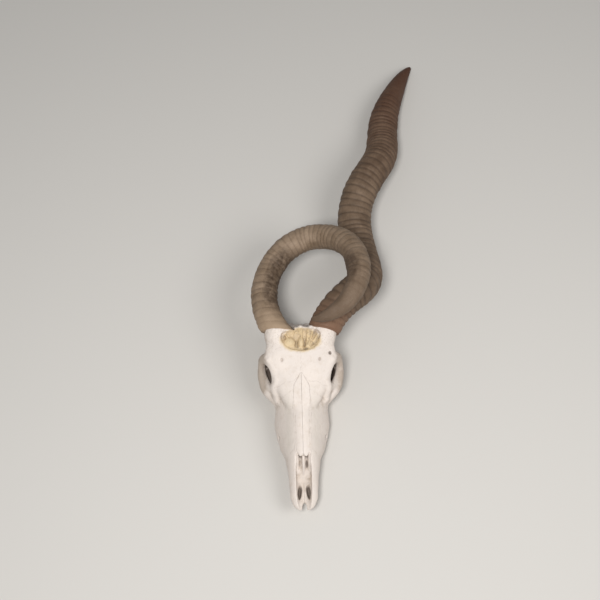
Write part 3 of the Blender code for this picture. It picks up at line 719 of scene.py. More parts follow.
# %% Walls of the sinus and of the nose
def inner_walls(bm):
    # Lumps on the floor of the sinus
    ball(bm, (-17.0, 261.0, 0.0), (9.5, 9.0, 7.5))
    ball(bm, (1.0, 261.0, -0.5), (5.0, 9.5, 7.0))
    # Walls of the sinus, each from a point near its front edge to one near its rear edge
    sinus_walls = (
        ((9, 252), (13, 283), 1.3),
        ((11, 252.5), (21, 281), 1.7),
        ((12, 252), (29, 275), 1.2),
        ((14, 251), (32, 263), 1.6),
        ((2, 262), (3, 284), 1.5),
        ((-16, 262), (-8, 282), 1.3),
        ((-17, 264), (-25, 276), 1.6),
        ((-14, 260), (-5, 247), 1.4),
    )
    for (x0, s0), (x1, s1), r in sinus_walls:
        sag = rng.uniform(2.0, 4.5)
        low = SINUS_CENTRE[2] - 10.0
        path = [(x0, s0, low), ((x0 + x1) / 2, (s0 + s1) / 2, low - sag), (x1, s1, low + 1)]
        bar(bm, path, (r, 0.85 * r, r), flat=4.4, sides=20)
    # Front rim of the sinus
    for rim in (
        ((-27, 259, -3), (-15, 251.5, -1.5), (-6, 249.5, -1), (3, 249, -1.5)),
        ((14, 250, -1.5), (22, 253, -2), (28, 260, -3)),
    ):
        bar(bm, rim, [4.6] * len(rim))
    # Floor, upright divider and rolled turbinates of the nose
    shelf = [(0, 41, -34), (0, 52, -28), (0, 64, -25.5), (0, 76, -30), (0, 86, -40)]
    bar(bm, shelf, (12, 14, 15, 15, 14), flat=0.40)
    divider = [(0, 54, -31), (0, 64, -24), (0, 74, -20), (0, 84, -19.5), (0, 118, -30)]
    bar(bm, divider, (1.6, 2.8, 3.4, 3.4, 2.4), flat=3.6, sides=20)
    scroll = [
        (11, 50, -32), (11.2, 60, -24.5), (11.4, 69, -20),
        (11.2, 78, -15.5), (11, 94, -15.5), (10, 112, -27),
    ]
    # The lower scroll stands higher on the right
    for sign, height in ((-1, -21.0), (1, -24.0)):
        mirrored_bar(bm, sign, scroll, (2.5, 3.8, 4.5, 4.7, 4.7, 4.6), flat=1.5, sides=24)
        low = [(5.2, 60, -22), (5.2, 67, height), (5.2, 80, height), (6.5, 110, -38)]
        mirrored_bar(bm, sign, low, (3, 3.2, 3.2, 3.6), flat=1.1, sides=20)


def add_mesh(obj, other):
    """Adds the other object's mesh to obj, for one skin to be drawn over both."""
    bm = bmesh.new()
    bm.from_mesh(obj.data)
    bm.from_mesh(other.data)
    bm.to_mesh(obj.data)
    bm.free()
    bpy.data.objects.remove(other, do_unlink=True)


add_mesh(skull, make("walls", inner_walls))
one_skin(skull, VOXEL, 0.5, 3)
drop_scraps(skull)
print("skull with its walls:", len(skull.data.polygons), "faces")

# %% [markdown]
# ## The surface of the bone
# Dry bone is never smooth. Its plates meet along wavy sutures, its surface rises and sinks a little,
# and round the horns and in the broken sinus it is rough and full of pores. These are pushed into
# the mesh itself, because a bump map would leave the outline smooth. A suture is a line of points on
# the bone: each vertex near it sinks, and a little noise added to the vertex's place makes the line
# wander as a real suture does.

# %% Sutures, swells and pores
NASAL_END = 212.0
NASAL_HALF_WIDTH = 15.0
SUTURE_DEPTH = 0.24
SUTURE_WIDTH = 0.9
# Each suture runs through a few points of the left half, in the face frame
SUTURES = {
    "between the frontal bones": [(0, 213, 4), (0.4, 222, 6), (-0.4, 234, 7), (0, 246, 8)],
    "frontal and lacrimal": [(4, 207, 4), (14, 198, 3), (24, 199, 2), (34, 193, 0), (44, 190, -8)],
    "lacrimal and upper jaw": [
        (14, 186, 2), (24, 179, -2), (34, 174, -12), (38, 172, -30), (42, 178, -46),
    ],
    "cheek bone and upper jaw": [(42, 178, -46), (46, 186, -56), (48, 196, -62), (50, 206, -58)],
    "frontal and parietal": [(0, 289, -2), (12, 287, -6), (24, 290, -22), (33, 292, -44)],
    "parietal and temporal": [(33, 292, -44), (36, 280, -58), (34, 264, -66), (30, 250, -72)],
    "cheek arch": [(61, 236, -50), (60, 246, -56), (57, 252, -56)],
}
PORE_SIZE = 3.4
PORE_DEPTH = 2.0
SWELL_WAVE = 16.0
SWELL_HEIGHT = 0.30


def nasal_edge():
    """Points (x, s) along the outer edge of a nasal bone, back to its rear tip."""
    edge = [(NASAL_HALF_WIDTH * 0.80, NASAL_TIP - 12)]
    for f in (0.15, 0.4, 0.65, 0.85):
        wide = NASAL_HALF_WIDTH * (0.80 + 0.22 * sin(pi * min(f * 1.2, 1.0)))
        edge.append((wide, NASAL_TIP + (NASAL_END - NASAL_TIP) * f))
    return edge + [(1.5, NASAL_END)]


def spaced(points, spacing=1.5):
    """Points at an even spacing in millimetres along a line of corners."""
    dense = []
    for a, b in zip(points, points[1:]):
        a, b = np.array(a, float), np.array(b, float)
        count = max(1, round(float(np.linalg.norm(b - a)) / spacing))
        dense += [a + (b - a) * k / count for k in range(count)]
    return dense


def ramp(values, start, end):
    """0 at start and before it, 1 at end and past it, straight between them."""
    return np.clip((values - start) / (end - start), 0.0, 1.0)


def wander(places, wave, size):
    """Noise vectors for many places, for lines and edges that wander."""
    return np.array([noise.noise_vector(Vector(p) / wave) for p in places]) * size


def suture_nearness(places, normals):
    """For each place, 1 on a suture and falling to 0 a few millimetres away."""
    moved = places + wander(places, 3.2, 1.5)
    near = np.zeros(len(places))
    lines = [spaced(line) for line in SUTURES.values()]
    lines.append([np.array([x, s, station(MUZZLE, s)[1]]) for x, s in spaced(nasal_edge())])
    for line in lines:
        for sign in (-1.0, 1.0):
            for point in line:
                gap = moved - point * np.array([sign, 1.0, 1.0])
                close = np.flatnonzero(np.abs(gap).max(axis=1) < 9.0)
                inward = np.einsum("ij,ij->i", gap[close], normals[close])
                flat_square = (gap[close] ** 2).sum(axis=1) - inward**2
                value = np.exp(-flat_square / SUTURE_WIDTH**2)
                near[close] = np.maximum(near[close], value)
    return near


def sinus_nearness(places):
    """1 inside the opened sinus, falling to 0 a few millimetres outside its rim."""
    moved = places + wander(places, 5.0, 2.4)
    share = (moved - np.array(SINUS_CENTRE)) / np.array(SINUS_RADII)
    share[:, 2] = np.maximum(share[:, 2], 0.0)
    reach = np.sqrt((share**2).sum(axis=1))
    return ramp(reach, 1.14, 0.94) * ramp(places[:, 2], -32.0, -22.0)


def horn_nearness(places):
    """1 at the horn stubs, falling to 0 some 25 mm in front of them."""
    near = np.zeros(len(places))
    for sign in (-1.0, 1.0):
        base = np.array([sign * PEDICLE[0], PEDICLE[1], PEDICLE[2]])
        gap = np.sqrt(((places - base) ** 2).sum(axis=1))
        near = np.maximum(near, ramp(gap, 44.0, 26.0))
    return near


def arrays(mesh):
    count = len(mesh.vertices)
    places, normals = np.empty(count * 3), np.empty(count * 3)
    mesh.vertices.foreach_get("co", places)
    mesh.vertices.foreach_get("normal", normals)
    return places.reshape(-1, 3), normals.reshape(-1, 3)


def roughen(obj):
    """Pushes sutures, swells and pores into the skull's surface."""
    places, normals = arrays(obj.data)
    swell = np.array([noise.fractal(Vector(p) / SWELL_WAVE, 1.0, 2.1, 4) for p in places])
    sutures = suture_nearness(places, normals)
    porous = np.maximum(0.75 * horn_nearness(places), sinus_nearness(places))
    rough = np.flatnonzero(porous > 0.02)
    pores = np.zeros(len(places))
    for i in rough:
        nearest = noise.voronoi(Vector(places[i]) / PORE_SIZE)[0][0]
        pores[i] = max(0.0, 0.55 - nearest) * porous[i]
    lift = SWELL_HEIGHT * swell - SUTURE_DEPTH * sutures - PORE_DEPTH * pores
    places += normals * lift[:, None]
    obj.data.vertices.foreach_set("co", places.ravel())
    obj.data.update()
    return sutures


lines = roughen(skull)
print("vertices in a suture:", int((lines > 0.5).sum()), "of", len(lines))

# %% [markdown]
# ## Part the skull into its bones
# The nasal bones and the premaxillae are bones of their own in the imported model, so they are parted
# here too, along the same seams. Each is the skull's overlap with a block, and the skull loses a
# block that is a hair larger, which leaves the seam open.

# %% Part the bones and cut the tooth sockets
# Length and width of each tooth, from the front
TOOTH_SIZES = ((10, 9.5), (12, 11), (11.5, 12.5), (15, 15), (18, 16), (18.5, 15))
TOOTH_ROW_SPACE = 0.5
TOOTH_ROOT = 6.0
# Two bones of an old skull have almost grown together
SEAM = 0.12


def nasal_block(bm, sign, grow):
    inner = SEAM if grow < 0 else -0.02
    outline = [(inner, NASAL_TIP - 12)]
    for x, s in spaced(nasal_edge(), 2.5):
        outline.append((x + grow + 0.8 * noise.noise(Vector((s / 3.0, sign * 5.0, 0.0))), s))
    outline += [(inner + 1.5 + grow, NASAL_END + grow), (inner, NASAL_END + grow)]
    block(bm, [(sign * x, s) for x, s in outline], -6.5 - grow, 30)


def premaxilla_block(bm, sign, grow):
    """Block in front of a seam that crosses the palate and slants back up the wall."""
    inner, wall, cross = (SEAM if grow < 0 else -0.02), 10.5 - grow, 43.0 + grow
    low, high = -70.0, 12.0
    low_rear, high_rear = 46.0 + grow, 108.0 + grow
    outline = [(inner, -30), (60, -30), (60, low_rear), (wall, low_rear), (wall, cross), (inner, cross)]
    block(bm, [(sign * x, s) for x, s in outline], low, high)
    for v in bm.verts:
        if v.co.z > 0.0 and abs(v.co.y - low_rear) < 0.01:
            v.co.y = high_rear


def split_off(body, name, build, sign):
    piece = new_object(name, body.data.copy())
    combine(piece, make("block", lambda bm: build(bm, sign, -SEAM / 2)), "INTERSECT")
    combine(body, make("block", lambda bm: build(bm, sign, SEAM / 2)), "DIFFERENCE")
    drop_scraps(piece)
    return piece


def tooth_row():
    """Number, place along the face, offset from the midline, length and width of each tooth."""
    s = TOOTH_ROW_START
    row_length = sum(length for length, _ in TOOTH_SIZES) + 5 * TOOTH_ROW_SPACE
    for number, (length, width) in enumerate(TOOTH_SIZES, 1):
        middle = s + length / 2
        bulge = 1.6 * sin(pi * (middle - TOOTH_ROW_START) / row_length)
        yield number, middle, tooth_row_x(middle, row_length) + bulge, length, width
        s += length + TOOTH_ROW_SPACE


def tooth_edge(angle, length, width, grow=0.0):
    """Crown outline: two rounded lobes inside, low ribs on the cheek side."""
    u = abs(cos(angle)) ** 0.62 * (1 if cos(angle) >= 0 else -1)
    v = abs(sin(angle)) ** 0.62 * (1 if sin(angle) >= 0 else -1)
    lobe = 0.90 + 0.10 * abs(sin(pi * u)) if v < 0 else 0.96 + 0.06 * cos(2.0 * pi * u)
    return v * (width / 2 * lobe + grow), u * (length / 2 * 0.985 + grow)


def socket(bm, sign, s, x, length, width):
    floor = floor_depth(s)

    def shape(t, angle):
        px, py = tooth_edge(angle, length * 0.93, width * 0.93, GAP)
        z = floor - 4.0 + (CROWN_HEIGHT + TOOTH_ROOT + 4.0 + GAP) * t
        return Vector((sign * (x + px), s + py, z - py * tan(FACE_SLOPE)))

    part = rod(2, 40)
    bend(part, shape)
    pour(part, bm)


def sockets(bm):
    for sign in (-1, 1):
        for _, *place in tooth_row():
            socket(bm, sign, *place)


bones = {"cranium_bone": skull}
for side, sign in SIDES:
    for kind, build in (("nasal", nasal_block), ("premaxilla", premaxilla_block)):
        name = f"{kind}_{side}_bone"
        bones[name] = split_off(skull, name, build, sign)
combine(skull, make("sockets", sockets), "DIFFERENCE")
drop_scraps(skull)
for name, bone in bones.items():
    bone.data.transform(FACE)
    print(name, len(bone.data.polygons), "faces")

# %% [markdown]
# ## Seat the horns
# A horn sheath slides onto a bony core and ends in a sharp edge a little above the skull. The stub
# is cut square just short of that edge, and the start of the horn's path is cleared, so that sheath
# and bone never share space.

# %% Trim the stubs to the horns
CUT_DEPTH = 0.018
CUT_RADIUS = 0.030
# How much wider than the horn its path is cleared, at the base and farther along
BASE_CLEARANCE = 0.0052
PATH_CLEARANCE = 0.0022


def trim_stub(sign):
    point, radius = HORNS[sign]
    spare = PATH_CLEARANCE - BASE_CLEARANCE
    along = base_direction(sign)
    base = point(0.0) - GAP * MM * along

    def square_cut(bm):
        bar(bm, [base, base + CUT_DEPTH * along], (CUT_RADIUS, CUT_RADIUS), sides=48)

    def path_cut(bm):
        steps = [0.012 + 0.014 * k for k in range(15)]
        widths = [radius(t) + BASE_CLEARANCE + spare * smooth_step(t / 0.12) for t in steps]
        bar(bm, [point(t) for t in steps], widths, sides=48)

    combine(skull, make("square cut", square_cut), "DIFFERENCE")
    combine(skull, make("path cut", path_cut), "DIFFERENCE")


for sign in (-1, 1):
    trim_stub(sign)
drop_scraps(skull)
for bone in bones.values():
    keep_above_floor(bone.data)
print("lowest point of the skull:", min(v.co.z for v in skull.data.vertices))

# %% [markdown]
# ## The horns
# Horn is keratin laid down year by year, and each spell of growth leaves a ridge round the sheath.
# The ridges here are heights added to the radius: a list of ridge lengths is drawn once from a
# seeded generator, and every slice of the rod looks up where in its ridge it lies. Towards the tip
# the ridges fade and the horn turns smooth.

# %% Build both horns
HORN_SIDES = 72
SLICE = 0.0011
RIDGES_START = 0.004
# How far a ridge tilts and wavers along the horn, in metres
RIDGE_TILT = 0.0012
RIDGE_WAVER = 0.0010
# Share of the length from which the tip is rounded, and its smallest radius as a share
ROUNDED_FROM = 0.992
BLUNT_TIP = 0.12


def ridge_list(length, rough_share, height, pitch):
    """Rows of (start, end, height) of the ridges along a horn, in metres."""
    rows, start = [], RIDGES_START
    while start < length * rough_share:
        size = pitch * rng.uniform(0.75, 1.3)
        fade = smooth_step((rough_share - start / length) / 0.14)
        rows.append((start, start + size, height * fade * rng.uniform(0.65, 1.25)))
        start += size
    return rows


def ridge_height(rows, place):
    """(height, groove share) at a distance from the horn's base."""
    for start, end, height in rows:
        if start <= place < end:
            f = (place - start) / (end - start)
            crest = 1.0 - abs(2.0 * f**0.85 - 1.0) ** 2.6
            return height * crest, (1.0 - crest) * min(1.0, height / 0.0008)
    return 0.0, 0.0


def steady_frames(point, count):
    """Place, side, over and along at each slice, turned as little as possible between them."""
    frames, side = [], Vector((1.0, 0.0, 0.0))
    for k in range(count + 1):
        t = k / count
        along = (point(min(t + 0.002, 1.0)) - point(max(t - 0.002, 0.0))).normalized()
        side = (side - side.dot(along) * along).normalized()
        frames.append((point(t), side, along.cross(side), along))
    return frames


def horn(name, sign, rows, roughness):
    """Horn sheath with ridges; it keeps how far along and round each vertex lies."""
    point, radius = HORNS[sign]
    length = HORN_LENGTHS[sign]
    slices = round(length / SLICE)
    frames = steady_frames(point, slices)
    facing_base = base_direction(sign)
    part = rod(slices, HORN_SIDES)
    for key in ("along", "groove", "turn_x", "turn_y"):
        part.verts.layers.float.new(key)
    layers = part.verts.layers.float.values()
    for v in part.verts:
        t, angle = v.co.z, atan2(v.co.y, v.co.x)
        here, side, over, along = frames[round(t * slices)]
        out = cos(angle) * side + sin(angle) * over
        # Ridges run a little askew and waver round the horn
        wavering = noise.noise(Vector((cos(angle), sin(angle), t * 40.0)))
        tilt = RIDGE_TILT * sin(angle + 2.0) + RIDGE_WAVER * wavering
        raised, groove = ridge_height(rows, t * length + tilt)
        spot = Vector((3.0 * cos(angle), 3.0 * sin(angle), t * length * 60.0))
        grain = noise.fractal(spot, 1.0, 2.0, 3)
        past = max(0.0, (t - ROUNDED_FROM) / (1.0 - ROUNDED_FROM))
        round_end = max(0.0, 1.0 - past**2) ** 0.5
        r = (radius(t) + raised + roughness * grain) * max(round_end, BLUNT_TIP)
        facing = facing_base.lerp(along, smooth_step(t / 0.12)).normalized()
        arm = r * out
        v.co = here + arm - (arm.dot(facing) / along.dot(facing)) * along
        v.co.z = max(v.co.z, 0.0)
        for layer, value in zip(layers, (t, groove, cos(angle), sin(angle))):
            v[layer] = value
    return as_object(name, part)


spiral_ridges = ridge_list(HORN_LENGTHS[1], rough_share=0.88, height=0.0019, pitch=0.0108)
ring_ridges = ridge_list(HORN_LENGTHS[-1], rough_share=0.82, height=0.0010, pitch=0.0098)
spiral_horn = horn("spiral_horn", 1, spiral_ridges, roughness=0.00045)
ring_horn = horn("ring_horn", -1, ring_ridges, roughness=0.00055)
for obj in (spiral_horn, ring_horn):
    print(obj.name, len(obj.data.polygons), "faces")

# %% [markdown]
# ## The cheek teeth
# An antelope's cheek teeth are tall prisms of dentine in a thin coat of enamel, folded on the cheek
# side into ribs. Chewing wears them to one flat plane, where the enamel stands a little proud as a
# sharp line. Each tooth is a rod with the crown's outline, and its worn end is inset twice: once for
# the enamel's edge and once for the dentine that has worn lower.

# %% Build the teeth
# Thickness of the enamel, width of the slope inside it and depth of the worn dentine
ENAMEL = 0.9
ENAMEL_EDGE = 0.35
DISH = 0.7


def tooth(name, sign, s, x, length, width):
    floor = floor_depth(s)
    part = rod(14, 48)

    def shape(t, angle):
        grow = 0.80 + 0.20 * smooth_step((1.0 - t) / 0.55)
        px, py = tooth_edge(angle, length * grow, width * grow)
        rib = 0.35 * max(0.0, sin(angle)) * cos(3.0 * angle) ** 2
        height = CROWN_HEIGHT + TOOTH_ROOT
        z = floor + height * t + py * -tan(FACE_SLOPE)
        swell = 0.12 * noise.noise(Vector((px / 3.0, py / 3.0, z / 4.0)))
        return Vector((sign * (x + px + rib + swell), s + py, z))

    bend(part, shape)
    bmesh.ops.recalc_face_normals(part, faces=part.faces)
    for thickness, depth in ((ENAMEL, 0.0), (ENAMEL_EDGE, -DISH)):
        worn = [f for f in part.faces if len(f.verts) > 4 and f.calc_center_median().z < floor + 5.0]
        bmesh.ops.inset_region(part, faces=worn, thickness=thickness, depth=depth, use_even_offset=True)
    crown = part.verts.layers.float.new("crown")
    for v in part.verts:
        v[crown] = smooth_step((v.co.z - floor_depth(v.co.y)) / CROWN_HEIGHT)
    obj = as_object(name, part)
    obj.data.transform(FACE)
    keep_above_floor(obj.data)
    return obj


teeth = {}
for side, sign in SIDES:
    for number, *place in tooth_row():
        name = f"cheek_tooth_{side}_{number}"
        teeth[name] = tooth(name, sign, *place)
print(len(teeth), "teeth,", sum(len(t.data.polygons) for t in teeth.values()), "faces")

# %% [markdown]
# ## Where dirt, stain, wear and painted shade lie
# A finish is only convincing when it knows the shape. Hollows keep dust and painted shade, enclosed
# places and deep openings are darkened with painted shade, the sinus is stained by what dried in it,
# and the sutures hold a fine brown line. These places are written on the vertices as numbers from 0 to
# 1. A hollow is found by smoothing a copy of the places many times: a vertex that moves outwards as it
#    is smoothed lay in a hollow.

# %% Write hollows, painted shade, sutures and stain on the bones
def write(mesh, name, values):
    layer = mesh.attributes.new(name, "FLOAT", "POINT")
    layer.data.foreach_set("value", np.ascontiguousarray(values, dtype=np.float32))


def spread(mesh, values, repeats):
    """Evens out numbers on the vertices, each time with those of their neighbours."""
    ends = np.empty(len(mesh.edges) * 2, dtype=np.int32)
    mesh.edges.foreach_get("vertices", ends)
    a, b = ends.reshape(-1, 2).T
    count = len(values)
    links = np.maximum(np.bincount(a, minlength=count) + np.bincount(b, minlength=count), 1)
    for _ in range(repeats):
        near = np.bincount(a, values[b], count) + np.bincount(b, values[a], count)
        values = 0.5 * values + 0.5 * near / links
    return values


def hollowness(mesh, repeats=60, depth=0.0012):
    """1 in hollows at least depth deep, 0 on ridges and about 0.5 on the flat."""
    places, normals = arrays(mesh)
    smooth = np.stack([spread(mesh, places[:, axis], repeats) for axis in range(3)], axis=1)
    outward = np.einsum("ij,ij->i", smooth - places, normals)
    return np.clip(0.5 + 0.5 * outward / depth, 0.0, 1.0)


def painted_shade(mesh, reach=0.035, clear=0.0006, count=26):
    """Share of the directions round each vertex that meet bone between clear and reach, used for
    painted shade.
    """
    corners = [tuple(p.vertices) for p in mesh.polygons]
    tree = BVHTree.FromPolygons([v.co for v in mesh.vertices], corners)
    golden = pi * (3.0 - 5.0**0.5)
    directions = []
    for k in range(count):
        z = 1.0 - 2.0 * (k + 0.5) / count
        r = (1.0 - z * z) ** 0.5
        directions.append(Vector((r * cos(golden * k), r * sin(golden * k), z)))
    shares = np.zeros(len(mesh.vertices))
    for i, v in enumerate(mesh.vertices):
        start = v.co + clear * v.normal
        outward = [d for d in directions if d.dot(v.normal) > 0.2]
        hits = sum(tree.ray_cast(start, d, reach)[0] is not None for d in outward)
        shares[i] = hits / max(len(outward), 1)
    return spread(mesh, shares, 4)


def face_places(mesh):
    """Places of the vertices in the face frame, and their normals there."""
    places, normals = arrays(mesh)
    back = np.array(TO_FACE)
    turned = normals @ back[:3, :3].T
    turned /= np.maximum(np.linalg.norm(turned, axis=1), 1e-9)[:, None]
    return places @ back[:3, :3].T + back[:3, 3], turned


def flank_shade_nearness(places):
    """1 along the hollow on each side of the nose ridge, where the bone is greyed with painted shade, 0
    elsewhere.
    """
    x, s = np.abs(places[:, 0]), places[:, 1]
    across = np.exp(-(((x - 21.0) / 8.5) ** 2))
    return across * ramp(s, 70.0, 100.0) * ramp(s, 212.0, 167.0) * ramp(places[:, 2], -45.0, -20.0)


def inside(places, centre, radii):
    """1 in the middle of a ball, falling to 0 just outside it."""
    reach = np.linalg.norm((places - np.array(centre)) / np.array(radii), axis=1)
    return ramp(reach, 1.15, 0.80)


# Centre, radii and darkness of painted shade: spot above the left eye, left and right nose slot, pits
# in the sinus
DARK_SPOTS = (
    ((47.0, 243.0, 3.0), (3.6, 3.8, 4.0), 0.80),
    ((5.2, 74.0, -21.0), (2.8, 10.0, 9.0), 0.82),
    ((-6.0, 74.0, -21.0), (3.0, 10.0, 9.0), 0.66),
    ((8.5, 250.5, 3.0), (5.0, 2.6, 5.0), 0.72),
    ((-4.0, 262.0, 0.0), (2.6, 4.0, 6.0), 0.66),
    ((20.0, 259.0, 0.0), (2.6, 4.0, 6.0), 0.66),
)
# The same painted shade for each side: slit of the palate, hole above the eye, rear of the socket's
# floor
DARK_PAIRS = (
    ((7.4, 28.5, -33.0), (3.8, 10.6, 4.5), 0.85),
    ((30.0, 233.0, 5.0), (3.2, 4.3, 4.0), 0.57),
    ((49.0, 241.0, -62.0), (11.0, 14.0, 9.0), 1.0),
)


def deep_places(places):
    """1 deep in the eye sockets and in the other openings, where shade is painted dark."""
    deep = np.zeros(len(places))
    for centre, radii, share in DARK_SPOTS:
        deep = np.maximum(deep, share * inside(places, centre, radii))
    for sign in (-1, 1):
        axis = np.array(Vector(mirrored(sign, ORBIT_NORMAL)).normalized())
        gap = places - np.array(mirrored(sign, ORBIT_CENTRE))
        inward = -gap @ axis
        aside = np.linalg.norm(gap + inward[:, None] * axis, axis=1)
        depth = ramp(inward, 1.0, 10.0) * ramp(inward, 36.0, 28.0)
        deep = np.maximum(deep, depth * ramp(aside, 33.0, 29.0))
        for centre, radii, share in DARK_PAIRS:
            deep = np.maximum(deep, share * inside(places, mirrored(sign, centre), radii))
    return deep


def grime_and_shade_nearness(places):
    """1 where shade is painted on the outer rims of the sockets and the floor of the nose, and where
    ground dirt stays on the underside.
    """
    x, s, z = np.abs(places[:, 0]), places[:, 1], places[:, 2]
    rims = ramp(x, 52.0, 61.0) * ramp(s, 184.0, 194.0)
    nose = ramp(s, 6.0, 14.0) * ramp(s, 82.0, 74.0) * ramp(x, 16.0, 14.0) * ramp(z, -16.0, -20.0)
    under = ramp(z + 0.15 * s, -52.0, -77.0)
    # The socket rims on the right side get more painted shade
    right_side = np.where(places[:, 0] < 0.0, 1.6, 1.2)
    return np.maximum(np.maximum(right_side * rims, 0.55 * nose), 0.8 * under)


for bone in bones.values():
    mesh = bone.data
    places, normals = face_places(mesh)
    sinus = sinus_nearness(places)
    # Painted shade where the bone is enclosed, a little less in the sinus, and deep in the openings
    enclosed = (1.0 - 0.15 * sinus) * painted_shade(mesh)
    marks = {
        "hollow": hollowness(mesh),
        "painted_shade": np.maximum(enclosed, deep_places(places)),
        "grime_and_shade": grime_and_shade_nearness(places),
        "flank_shade": flank_shade_nearness(places),
        "suture": suture_nearness(places, normals),
        "sinus": sinus,
        "porous": np.maximum(horn_nearness(places), sinus),
    }
    for name, values in marks.items():
        write(mesh, name, values)
for piece in [*bones.values(), spiral_horn, ring_horn, *teeth.values()]:
    piece.data.shade_smooth()
print("attributes on the skull:", [a.name for a in skull.data.attributes if a.data_type == "FLOAT"])

# %% [markdown]
# ## A helper for nodes, and colours
# Every material below is a small network of nodes. One helper adds a node: an input that is given as
# a socket is linked, and any other input is a value. A finish is built up like paint: one stain after
# another is laid on the colour below it. Colours are picked as sRGB hex values, as in a paint
# program, but shaders work in linear light, so one function turns them.

# %% Nodes and colours
def linear(code):
    """sRGB hex to linear RGBA."""
    parts = [int(code[k:k + 2], 16) / 255 for k in (1, 3, 5)]
    return (*[p / 12.92 if p <= 0.04045 else ((p + 0.055) / 1.055) ** 2.4 for p in parts], 1.0)


def per_mm(size):
    """Noise scale whose blobs are about this many millimetres across."""
    return 1000.0 / size


def add(tree, kind, inputs, **settings):
    node = tree.nodes.new("ShaderNode" + kind)
    for key, value in settings.items():
        setattr(node, key, value)
    for key, value in inputs.items():
        if isinstance(value, bpy.types.NodeSocket):
            tree.links.new(value, node.inputs[key])
        else:
            node.inputs[key].default_value = value
    return node


def stain(tree, under, over, amount, low, high, most=1.0):
    """Colour under, with the colour over laid on it where amount runs from low to high."""
    share = add(tree, "MapRange", {0: amount, 1: low, 2: high, 4: most})
    return add(tree, "Mix", {0: share.outputs[0], 6: under, 7: over}, data_type="RGBA").outputs[2]


def attributes(tree, names):
    """What was written on the vertices, by name, as sockets."""
    return {name: add(tree, "Attribute", {}, attribute_name=name).outputs["Fac"] for name in names}


def finish(tree, shader, colour, rough, relief):
    """Links colour, rough (pattern, lowest, highest) and relief (pattern, strength, distance)."""
    gloss = add(tree, "MapRange", {0: rough[0], 1: 0.3, 2: 0.7, 3: rough[1], 4: rough[2]})
    bump = add(tree, "Bump", {"Height": relief[0], "Strength": relief[1], "Distance": relief[2]})
    for name, node in (("Roughness", gloss), ("Normal", bump)):
        tree.links.new(node.outputs[0], shader.inputs[name])
    tree.links.new(colour, shader.inputs["Base Color"])


def new_material(name, roughness, ior):
    material = bpy.data.materials.new(name)
    material.use_nodes = True
    shader = material.node_tree.nodes["Principled BSDF"]
    shader.inputs["Roughness"].default_value = roughness
    shader.inputs["IOR"].default_value = ior
    return material, material.node_tree, shader


print("white in linear light:", [round(v, 3) for v in linear("#FFFFFF")])

# %% [markdown]
# ## Sun-bleached bone
# Dry bone is calcium phosphate with its fat gone: matt, slightly translucent at thin edges and never
# one white. Large soft patches drift between cream and cool white, small blotches and fibres run
# along the face, the hollows keep grey-brown dust and painted shade, the flanks of the nose, the rims
# of the sockets and the floor of the nose are darkened with painted shade, enclosed places and deep
# openings get dark painted shade, the underside keeps ground dirt, and round the broken sinus the
# exposed spongy bone is ochre. The finest grain is really about 0.1 mm and is drawn at 0.9 mm, or it
# would not show.

# %% Material for the bones
BONE_CREAM = linear("#E4D8CE")
BONE_COOL = linear("#DDD2C9")
BONE_BLOTCH = linear("#CBBBAA")
# Painted shade that greys the flanks of the nose
BONE_FLANK_SHADE = linear("#D8CEC3")
# Dust and painted shade, for the hollows, the socket rims, the nose floor and the underside
BONE_DUST_AND_SHADE = linear("#A39382")
# Painted shade for enclosed places and deep openings
BONE_SHADE = linear("#4A3B30")
BONE_SUTURE = linear("#86735F")
SINUS_OCHRE = linear("#D6BF99")
SINUS_DEEP = linear("#7C6040")


